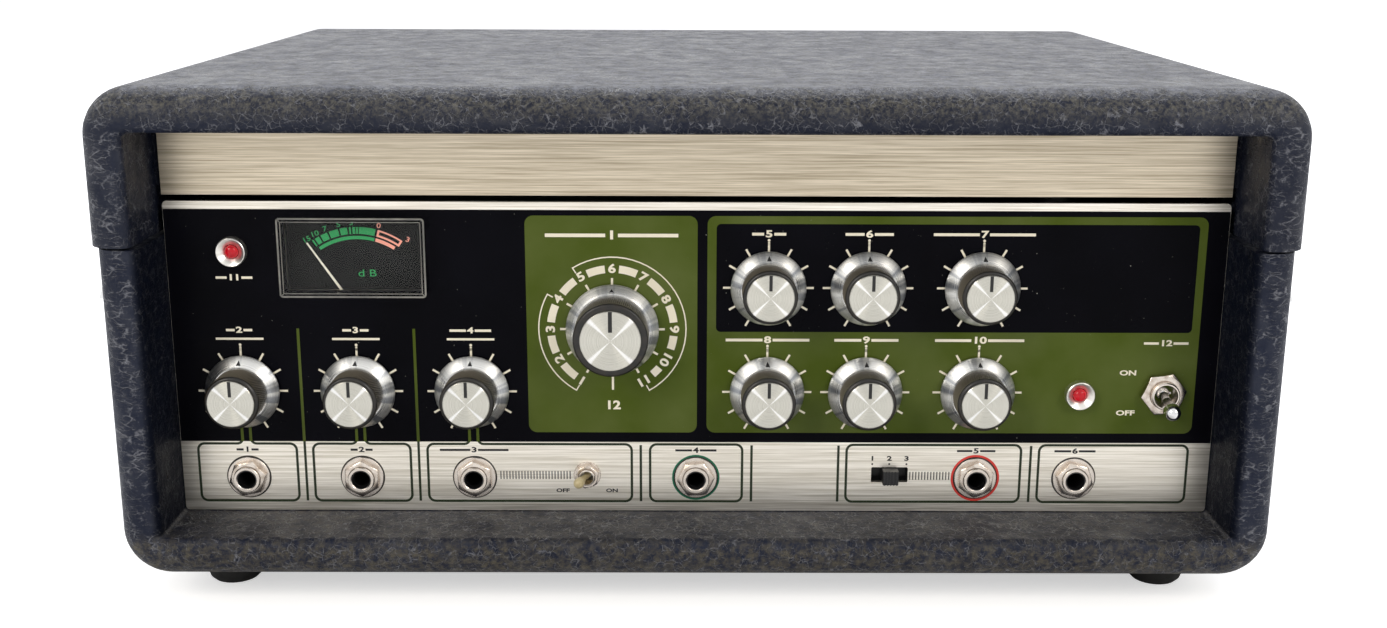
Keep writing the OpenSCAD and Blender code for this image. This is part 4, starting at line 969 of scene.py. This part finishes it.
def turned_metal(name, colour, rough, lean, groove=0.0, shade=None, rays=0.0, fans=0.0):
    material, tree, shader = finish(name, colour, rough, 1.0, Anisotropic=lean)
    tangent = node(tree, "ShaderNodeTangent", direction_type="UV_MAP", uv_map=UV_NAME).outputs[0]
    feed(shader, Tangent=tangent)
    if groove:
        place = node(tree, "ShaderNodeUVMap", uv_map=UV_NAME).outputs[0]
        across, around, _ = node(tree, "ShaderNodeSeparateXYZ", {"Vector": place}).outputs
        rings = node(tree, "ShaderNodeTexNoise", {"W": across, "Scale": groove, "Detail": 3.0},
                     noise_dimensions="1D").outputs[0]
        tone = blend_colours(tree, between(tree, rings, 0.0, 1.0, 0.3, 0.7), colour, shade)
        # Painted highlight: white rays at RAY_COUNT angles round the cap.
        if rays:
            crest = maths(tree, "COSINE", maths(tree, "MULTIPLY_ADD", around, math.tau * RAY_COUNT, math.pi))
            tone = tinted(tree, between(tree, crest, 0.0, rays, RAY_CREST, 1.0), tone, "#ffffff")
        # Painted reflection: darker sectors round the skirt.
        if fans:
            sectors = node(tree, "ShaderNodeTexNoise", {"W": around, "Scale": 16.0, "Detail": 2.0},
                           noise_dimensions="1D").outputs[0]
            tone = tinted(tree, between(tree, sectors, 0.0, fans, 0.52, 0.66), tone, "#8b9098")
        feed(shader, Base_Color=tone, Roughness=between(tree, rings, rough - 0.05, rough + 0.07, 0.3, 0.7))
    return material


def clouded(name, colour, rough, metallic, size, first_code, second_code, high):
    """A finish whose colour wanders between two in clouds of a size."""
    material, tree, shader = finish(name, colour, rough, metallic)
    clouds = between(tree, noise(tree, object_place(tree), size, 4), 0.0, 1.0, 0.4, high)
    feed(shader, Base_Color=blend_colours(tree, clouds, first_code, second_code))
    return material


CAP_METAL = turned_metal("spun aluminium of the caps", "#d6d4ca", 0.25, 0.96, 260.0, "#bab8ae", rays=0.75)
SKIRT_METAL = turned_metal("polished aluminium of the skirts", "#f6f6f4", 0.3, 0.6, 120.0, "#e0dfda",
                           fans=0.8)
NICKEL = turned_metal("nickel plate on brass", "#ded5cb", 0.26, 0.3)
NICKEL_FLAT = clouded("nickel plate on the nuts", "#d8cec4", 0.26, 1.0, 2.5, "#ded5cb", "#b3a496", 0.7)
PHENOLIC = clouded("black phenolic moulding", "#15130f", 0.32, 0.0, 3, "#100f0d", "#2a241c", 0.75)
CHROME, chrome_tree, chrome_shader = finish("chromium plate", "#e2e3e4", 0.1, 1.0)
chrome_clouds = noise(chrome_tree, object_place(chrome_tree), 4, 4)
feed(chrome_shader, Roughness=between(chrome_tree, chrome_clouds, 0.06, 0.2, 0.35, 0.75))
# The knurls are coloured pale as painted highlight on their crests.
KNURL_HIGHLIGHT = finish("worn crests of the knurls", "#7a7366", 0.28)[0]
MARK_PAINT = finish("black enamel in the marks", "#0b0b0b", 0.35)[0]

# %% [markdown]
# ## Knobs
# A small knob is a bevelled skirt, a grip with slanting knurls that ends in a smooth lip, and
# a cap let into it. A black line is painted on the cap and a triangle on the skirt. The
# knurls are one slanting ridge, set round the grip by the ring tree. The knob is made once
# and copied to its nine places. The mode knob is larger and its knurls are straight.

# %% The knobs
def ridge(radius, low, high, slant, width, height):
    """One knurl: a bar of triangular section that leans round the grip."""
    levels = 4
    vertices = []
    for k in range(levels):
        share = k / (levels - 1)
        z = low + (high - low) * share
        middle = slant * (share - 0.5)
        for side, rise in ((-1, -0.05), (0, height), (1, -0.05)):
            turn = middle + side * width / 2 / radius
            vertices.append(((radius + rise) * math.cos(turn), (radius + rise) * math.sin(turn), z))
    faces = []
    for k in range(levels - 1):
        a = 3 * k
        faces += [(a, a + 1, a + 4, a + 3), (a + 1, a + 2, a + 5, a + 4)]
    faces += [(2, 1, 0), (3 * levels - 3, 3 * levels - 2, 3 * levels - 1)]
    return mesh_of("ridge", vertices, faces)


CONE_LOW, CONE_HIGH = 3.05, 4.4


def knob(skirt, grip, cap, height, knurls, slant, line):
    """A whole knob on the panel at the origin, its axis along Z."""
    top = height - 1
    skirt_metal = lathe("skirt", [
        (skirt - 1.2, 0.8), (skirt - 0.35, 0.8), (skirt, 1.15), (skirt, 1.75), (skirt - 0.25, 2.1),
        (skirt - 1.3, CONE_LOW), (grip + 1.1, 4.35), (grip + 0.6, 4.7), (grip + 0.3, 5.0), (grip - 1.0, 5.0),
    ], SKIRT_METAL)
    root = grip - 0.35
    body = lathe("grip", [
        (root, 4.9), (root, top - 1.45), (grip - 0.05, top - 1.25), (grip - 0.05, top - 0.7),
        (grip - 0.5, top - 0.12), (grip - 0.75, top), (cap + 0.12, top), (cap + 0.12, top - 0.5),
    ], PHENOLIC)
    pitch = math.tau * root / knurls
    knurl = repeated("knurl", ridge(root, 5.0, top - 1.3, slant, pitch * 0.6, 0.36), RING, count=knurls,
                     radius=0.0, first_angle=0.0, step=math.tau / knurls, material=KNURL_HIGHLIGHT)
    disc = lathe("cap", [
        (cap, top - 0.6), (cap, height - 0.22), (cap - 0.22, height), (0.02, height),
    ], CAP_METAL)
    pointer = loose(slab(
        (-line / 2, line * 2.3, height - 0.1), (line / 2, cap - 0.1, height + 0.03)
    ), MARK_PAINT)
    far, near = skirt - 1.25, grip + 0.95
    slope = (CONE_HIGH - CONE_LOW) / (far - near)
    ends = [(-line * 0.75, near), (line * 0.75, near), (0, far)]
    mark = loose(mesh_of("mark", [
        (x, r, CONE_LOW + 0.05 + (far - r) * slope + out) for out in (0.03, -0.15) for x, r in ends
    ], [(0, 1, 2), (5, 4, 3), (0, 3, 4, 1), (1, 4, 5, 2), (2, 5, 3, 0)]), MARK_PAINT)
    return joined("knob", [skirt_metal, body, knurl, disc, pointer, mark])


small = knob(13.4, 9.6, 8.3, 17.0, 84, math.radians(17), 1.15)
for name in SMALL_KNOBS:
    x, z = place_of(name)
    made = moved(loose(small.data.copy()), on_panel(x, z))
    made.name = name + "_turned"
    fix(made, name, "knob", name)
bpy.data.objects.remove(small)
large = moved(knob(16.6, 13.2, 10.7, 17.5, 112, math.radians(2), 1.4), on_panel(*MODE))
large.name = "mode_knob_turned"
fix(large, "mode_knob", "knob", "mode_knob")

# %% [markdown]
# ## Plain finishes
# Most small pieces have one even finish with a little life in it: clouds of a second tone
# and a roughness that wanders. One function makes them all from a real colour and a size.

# %% Painted, plated and moulded finishes
def plain(name, colour, worn, rough, metallic=0.0, size=6.0, grain=0.0, **sockets):
    material, tree, shader = finish(name, colour, rough, metallic, **sockets)
    place = object_place(tree)
    clouds = noise(tree, place, size, 4, 0.6)
    feed(shader, Base_Color=blend_colours(tree, between(tree, clouds, 0.0, 1.0, 0.38, 0.68), colour, worn),
         Roughness=between(tree, clouds, rough * 0.8, rough * 1.25, 0.35, 0.7))
    if grain:
        raise_surface(tree, shader, noise(tree, place, 0.5, 2), grain)
    return material


# The sheet bends light less than acrylic, and its shadow is thin, so that what lies under it
# can be read.
SHEET_IOR = 1.2
SHEET_SHADOW = 0.12


def clear_plastic(name, colour, rough):
    material, tree, shader = finish(name, colour, rough, IOR=SHEET_IOR, Transmission_Weight=1.0)
    shadow = node(tree, "ShaderNodeLightPath").outputs["Is Shadow Ray"]
    feed(shader, Alpha=between(tree, shadow, 1.0, SHEET_SHADOW))
    return material


BLACK_STEEL = plain("black enamelled steel", "#16171a", "#1e1f22", 0.42, size=14, grain=0.02)
ZINC = plain("zinc plated steel", "#b3b3ac", "#95968f", 0.34, 1.0, size=5)
STEEL = plain("ground steel", "#c6c5c0", "#b0afa9", 0.24, 1.0, size=3)
BRASS = plain("turned brass", "#c9a452", "#a98740", 0.28, 1.0, size=3)
BRONZE = plain("sintered bronze", "#a9814a", "#8b6a3d", 0.45, 1.0, size=2)
RUBBER = plain("black rubber", "#151515", "#1f1e1d", 0.72, size=4, grain=0.03)
STRAP_VINYL = plain("moulded black vinyl", "#17181b", "#212226", 0.5, size=5, grain=0.04)
ACETAL = plain("black moulded plastic", "#121214", "#1a1a1c", 0.38, size=4)
CREAM = plain("cream urea plastic", "#cdbf97", "#ab9a6e", 0.36, size=2.5)
RED_LENS = plain("red acrylic lens", "#cf0a20", "#a80a1a", 0.16, size=3, Specular_IOR_Level=0.35)
WHITE_PAINT = plain("white enamel", "#f1efe8", "#e6e3da", 0.4, size=3)
DIAL_PAINT = plain("charcoal dial print", "#17181b", "#121316", 0.7, size=9, Specular_IOR_Level=0.1)
OXIDE = plain("brown oxide tape", "#3b2a20", "#33241b", 0.3, size=12)
WINDOW = clear_plastic("clear acrylic", "#f4f4f0", 0.03)
CORE = plain("varnished laminations", "#2e2b27", "#3a352d", 0.45, size=4)
CIRCUIT_BOARD = plain("green circuit board", "#2f4d2a", "#28431f", 0.35, size=9)

for nodes, material in (
    (("chassis_tray", "power_switch", "echo_switch", "reverb_tank", "drive_motor", "pinch_arm"), ZINC),
    (("rear_panel", "deck_plate", "tape_bin"), BLACK_STEEL),
    (("slide_switch", "slide_knob", "meter_case", "head_cover", "jack_sockets", "fuse_holder"), ACETAL),
    (("floor_feet", "side_feet", "cord_gland", "drive_belt", "pinch_roller"), RUBBER),
    (("latch_plates", "latch_strikes", "left_latch", "right_latch", "strap_ends", "power_lever"), CHROME),
    (("hinge_case_leaves", "hinge_lid_leaves", "control_pots", "mode_switch"), ZINC),
    (("flywheel", "head_block"), STEEL),
    (("meter_window", "tape_cover"), WINDOW),
    (("motor_pulley",), BRASS), (("capstan_bearing",), BRONZE), (("carry_strap",), STRAP_VINYL),
    (("echo_lever",), CREAM), (("lamp_lenses",), RED_LENS), (("meter_needle",), WHITE_PAINT),
    (("meter_dial",), DIAL_PAINT), (("tape_loop",), OXIDE),
    (("power_transformer",), CORE), (("main_board",), CIRCUIT_BOARD),
):
    for name in nodes:
        paint(name, material)

# %% [markdown]
# ## Lamps
# A lamp's bezel is a bright shallow dish round a small domed lens, which fills its bore.

# %% The two lamps
BEZEL = turned_metal("turned aluminium of the bezels", "#eceae4", 0.3, 0.5)
LENS_R, LENS_LOW, DOME_RISE = 2.45, 1.4, 1.7
dishes = [
    moved(lathe("bezel", [
        (2.6, -7.9), (3.4, -7.9), (3.4, 0.0), (5.3, 0.0), (5.3, 2.5), (5.15, 3.1), (4.9, 3.3),
        (4.6, 3.2), (3.4, 2.1), (2.6, 1.5), (2.6, -7.9),
    ], BEZEL), on_panel(*at)) for at in LAMPS
]
fix(joined("lamp_dishes", dishes), "case", "bezel", "lamp_bezels")
dome = [
    (LENS_R * math.cos(math.radians(a)), LENS_LOW + DOME_RISE * math.sin(math.radians(a)))
    for a in range(0, 90, 9)
]
lens = [(0.02, -6.9), (LENS_R, -6.9)] + dome + [(0.02, LENS_LOW + DOME_RISE)]
domes = [moved(lathe("lens", lens, RED_LENS, 48), on_panel(*at)) for at in LAMPS]
fix(joined("lamp_domes", domes), "case", "lens", "lamp_lenses")

# %% [markdown]
# ## Nuts and washers
# A hexagon nut is turned and then cut by six flats, which leaves the curved edge of its
# chamfer. The lathe makes the body and each point is drawn in to the flats, so that curve
# comes by itself. Each socket has a black phenolic ring that stands out past its plated
# washer as painted shadow round it, the plated washer, a nut that stopped at its own angle,
# and the end of its threaded bush.

# %% Nuts on the sockets and switches
CHAMFER = 0.55
CHAMFER_STEPS = 6


def nut(across, bore, low, high, turn, material):
    flat = across / 2
    point = flat / math.cos(math.pi / 6)
    slope = [
        (point + (flat * 0.96 - point) * k / CHAMFER_STEPS, high - CHAMFER + CHAMFER * k / CHAMFER_STEPS)
        for k in range(CHAMFER_STEPS + 1)
    ]
    inner = [(bore + 0.15, high), (bore, high - 0.2), (bore, low + 0.1)]
    piece = lathe("nut", [(bore, low), (point, low)] + slope + inner, material)
    for vertex in piece.data.vertices:
        radius = math.hypot(vertex.co.x, vertex.co.y)
        angle = math.atan2(vertex.co.y, vertex.co.x) % (math.pi / 3) - math.pi / 6
        bound = flat * MM / math.cos(angle)
        if radius > bound:
            vertex.co.x *= bound / radius
            vertex.co.y *= bound / radius
    sharpened(piece)
    return moved(piece, Matrix.Rotation(math.radians(turn), 4, "Z"))


def washer(bore, radius, low, high, material):
    return lathe("washer", [
        (bore, low), (radius, low), (radius, high - 0.2), (radius - 0.2, high), (bore, high),
    ], material)


NUT_TURNS = (12, 30, 33, 4, 24, 47)
pieces = []
for (x, z), turn in zip(SOCKETS, NUT_TURNS):
    # The black ring under the plated washer is painted shadow round it.
    stack = [
        washer(4.72, 8.1, 0.0, 0.3, PHENOLIC), washer(4.72, 7.7, 0.3, 0.75, NICKEL),
        nut(11.9, 4.74, 0.8, 3.0, turn, NICKEL_FLAT),
        lathe("bush", [(4.75, 3.0), (4.75, 3.8), (4.55, 4.0), (3.75, 4.0), (3.28, 3.6), (3.24, 1.0)], NICKEL),
    ]
    pieces += [moved(piece, on_panel(x, z)) for piece in stack]
fix(joined("socket_nuts", pieces), "case", "nut", "jack_nuts")

# %% [markdown]
# ## Toggle switches
# Each has a zinc body behind the panel and a threaded bush with a flared mouth in front,
# with a toothed washer and a nut on it. The teeth are one bar in the ring tree.

# %% The two switches
TEETH = 24


def toggle(name, place, bush, out, body, across, mouth, turn):
    """A switch whose body is given as its width, its height and its depth."""
    throat = mouth * 0.78
    wide, high, deep = body
    teeth = repeated("teeth", slab((0, -0.35, 0), (0.9, 0.35, 0.5), "tooth"), RING, count=TEETH,
                     radius=(bush + 1.1) * MM, first_angle=0.0, step=math.tau / TEETH, material=NICKEL_FLAT)
    made = [
        washer(bush, bush + 1.9, 0.0, 0.55, NICKEL), teeth, nut(across, bush, 0.6, 3.0, turn, NICKEL_FLAT),
        lathe("bush", [
            (bush, 0.5), (bush, out - 0.4), (bush - 0.4, out), (mouth, out), (throat, 0.6), (throat, -5),
        ], NICKEL),
        loose(slab((-wide / 2, -high / 2, -2 - deep), (wide / 2, high / 2, -2.03)), ZINC),
    ]
    whole = joined(name + "_turned", [moved(piece, on_panel(*place)) for piece in made])
    fix(whole, "case", "switch_metal", name)


toggle("power_switch", POWER, 5.1, 5.2, (13, 27, 20), 14.2, 4.3, 8)
toggle("echo_switch", TOGGLE, 3.0, 4.0, (12, 8, 12), 8.0, 2.5, 20)

# %% [markdown]
# ## The meter's face
# The dial lies 6.6 millimetres behind the panel's face, under the clear window. Its scale is
# a green band, cut at its figures, over a thin green arc, and a pink section for the loudest
# levels. Both inks give a little light of their own. The needle is a solid of the frame and
# rests at the left.

# %% Dial prints
DIAL_OUT = -6.55
DIAL_X, DIAL_Z = METER[0], 104.2
GREEN, PINK = "#0f8a4c", "#e0988a"
DIAL_GREEN, DIAL_PINK = (
    finish(name, code, 0.5, Emission_Color=hex_colour(code), Emission_Strength=light)[0]
    for name, code, light in (("green dial ink", GREEN, 0.25), ("pink dial ink", PINK, 0.2))
)


def arc_band(inner, outer, start, end):
    return arc(DIAL_X, DIAL_Z, outer, start, end) + arc(DIAL_X, DIAL_Z, inner, end, start)


CUTS = [-35.5, -33.0, -28.2, -21.5, -13.2, -6.4, -3.6, 1.0, 14.6]
BAND_LOW, BAND_HIGH = 25.6, 28.1
THIN_LOW, THIN_HIGH = 23.7, 24.9
CUT_GAP = 0.65
SPLIT = (-3.6, 1.0)
green = [
    arc_band(BAND_LOW, BAND_HIGH, start + CUT_GAP, end - CUT_GAP)
    for start, end in zip(CUTS, CUTS[1:]) if (start, end) != SPLIT
]
green += [arc_band(BAND_LOW, BAND_HIGH, *turns) for turns in ((-3.2, -1.0), (-0.4, 1.0))]
green.append(arc_band(THIN_LOW, THIN_HIGH, -33.6, 14.6))
face_prints = [printed("dial_green", green, DIAL_OUT)]
FIGURES_AT = 29.6


def dial_figures(*figures):
    """Figures of the scale, each with its angle in degrees."""
    made = []
    for figure, turn in figures:
        x, z = round_from(DIAL_X, DIAL_Z, FIGURES_AT, turn)
        made.append(letters(str(figure), x, z, 1.8, DIAL_OUT, 1.25, turn * 0.6, 0.012))
    return made


face_prints += dial_figures((15, -37.5), (10, -30.5), (7, -22.5), (5, -12.5), (3, -3.5))
face_prints.append(letters("d B", DIAL_X + 3.1, 115.4, 2.6, DIAL_OUT, 1.35, 0.0, 0.0))
fix(joined("dial_scale_green", face_prints, DIAL_GREEN), "case", "dial")
pink = [arc_band(BAND_LOW, BAND_HIGH, 15.6, 35.2), arc_band(BAND_LOW + 0.7, BAND_HIGH - 0.6, 17.2, 33.6)]
pink += [arc_band(THIN_LOW, THIN_HIGH, 15.6, 33.0)]
face_prints = [printed("dial_pink", pink, DIAL_OUT)]
face_prints += dial_figures((0, 15.5), (3, 37.5))
fix(joined("dial_scale_pink", face_prints, DIAL_PINK), "case", "dial")

# The clear window shows as its polished edges: an outer one, and an inner one behind the
# thickness of its walls, joined across the corners. They are grey lines laid on the window's
# face, a painted reflection of those edges.
EDGE = plain("polished edge of the acrylic", "#84827b", "#5c5b57", 0.25, size=5)
window_low, window_high = span("meter_window")
left, right, low, high = window_low.x, window_high.x, window_low.z, window_high.z
window_out = FACE - window_low.y
WALL = 1.5
edges = []
for inset, radius, width in ((0.35, 1.0, 0.6), (WALL, 0.5, 0.28)):
    loop = soft_box(left + inset, low + inset, right - inset, high - inset, radius)
    edges += ribbon(loop, width, closed=True)
for x, to_x in ((left, 1), (right, -1)):
    for z, to_z in ((low, 1), (high, -1)):
        edges += ribbon([(x + 0.4 * to_x, z + 0.4 * to_z), (x + WALL * to_x, z + WALL * to_z)], 0.3)
inked("window_edges", edges, window_out + 0.02, EDGE, "clear_cover")

# %% [markdown]
# ## Screws
# Every screw is one pan head with a cross cut into it, placed by the tree that sets pieces on
# spots and gives each its own turn. The spots are written as places on the unit, and the
# frame of each face turns them so that Z comes out of it.

# %% Screw heads
SCREW_STEEL = plain("zinc plated screw", "#b9b7ae", "#8f8d84", 0.3, 1.0, size=2)
BLACK_SCREW = plain("blackened screw", "#2a2a2b", "#1d1d1e", 0.35, 0.9, size=2)


def screw_head(radius):
    rise = radius * 0.55
    head = lathe("screw", [(0.02, -0.1), (radius, -0.1), (radius, rise * 0.3), (radius * 0.93, rise * 0.62),
                           (radius * 0.72, rise * 0.88), (radius * 0.4, rise), (0.02, rise)], SCREW_STEEL, 32)
    arm, slot = radius * 0.52, radius * 0.13
    cross = joined("cross", [
        loose(slab((-x, -y, rise * 0.35), (x, y, rise * 2))) for x, y in ((arm, slot), (slot, arm))
    ])
    cut = head.modifiers.new("cross", "BOOLEAN")
    cut.operation = "DIFFERENCE"
    cut.use_self = True
    cut.object = cross
    head = settle(head, "screw")
    bpy.data.objects.remove(cross)
    return sharpened(head)


SMALL_HEAD, LARGE_HEAD = 1.6, 2.4
HEADS = {radius: screw_head(radius) for radius in (SMALL_HEAD, LARGE_HEAD)}
LATCH_SPREAD = 9
LEAF_SPREAD = 17
HINGE_X = 120


def screws(name, body, slot, radius, out, points, material=SCREW_STEEL):
    """Screw heads at points on the unit, whose faces look along out."""
    turn = Vector(out).to_track_quat("Z", "Y").to_matrix().to_4x4()
    local = [turn.inverted() @ Vector(point) for point in points]
    made = repeated(name, mesh_of(name, local, []), SPOTS, turn, piece=HEADS[radius], seed=len(name),
                    material=material)
    fix(sharpened(made), body, slot)


rear_low, rear_high = span("rear_panel")
rows_z = (rear_low.z + 6, rear_high.z - 6)
screws("rear_panel_screws", "case", "black_steel", LARGE_HEAD, (0, 1, 0),
       [(x, rear_high.y, z) for x in (-180, -60, 60, 180) for z in rows_z], BLACK_SCREW)
for leaves, body, inward in (("hinge_case_leaves", "case", -1), ("hinge_lid_leaves", "lid", 1)):
    leaf_low, leaf_high = span(leaves)
    z = (leaf_low.z if inward < 0 else leaf_high.z) - inward * 7
    screws(leaves + "_screws", body, "chrome", SMALL_HEAD, (0, 1, 0),
           [(side * HINGE_X + x, case_high.y + 1.2, z)
            for side in (-1, 1) for x in (-LEAF_SPREAD, 0, LEAF_SPREAD)])
plate_low, plate_high = span("latch_plates")
strike_low, strike_high = span("latch_strikes")
latch_y = (plate_low.y + plate_high.y) / 2
for side in (-1, 1):
    hand = "right" if side > 0 else "left"
    for name, body, out, z in (
        ("_latch_plate_screws", "lid", lid_high.x + 0.8, plate_high.z - 4),
        ("_strike_screws", "case", case_high.x + 1, strike_low.z + 3.6),
    ):
        screws(hand + name, body, "chrome", SMALL_HEAD, (side, 0, 0),
               [(side * out, latch_y + y, z) for y in (-LATCH_SPREAD, LATCH_SPREAD)])
strap_low, strap_high = span("strap_ends")
strap_z = (strap_low.z + strap_high.z) / 2
screws("strap_screws", "case", "chrome", LARGE_HEAD, (1, 0, 0),
       [(strap_high.x, y, strap_z) for y in (strap_low.y + 15, strap_high.y - 15)])
deck_low, deck_high = span("deck_plate")
screws("deck_screws", "case", "black_steel", LARGE_HEAD, (0, 0, 1),
       [(x, y, deck_high.z) for x in (-178, 178) for y in (-110, -40, 30, 105)])
cover_low, cover_high = span("tape_cover")
screws("cover_screws", "case", "clear_cover", LARGE_HEAD, (0, 0, 1),
       [(x, y, cover_high.z) for x in (cover_low.x + 5, 0, cover_high.x - 5)
        for y in (cover_low.y + 4, cover_high.y - 4)])
for head in HEADS.values():
    bpy.data.objects.remove(head)
print("screws done")
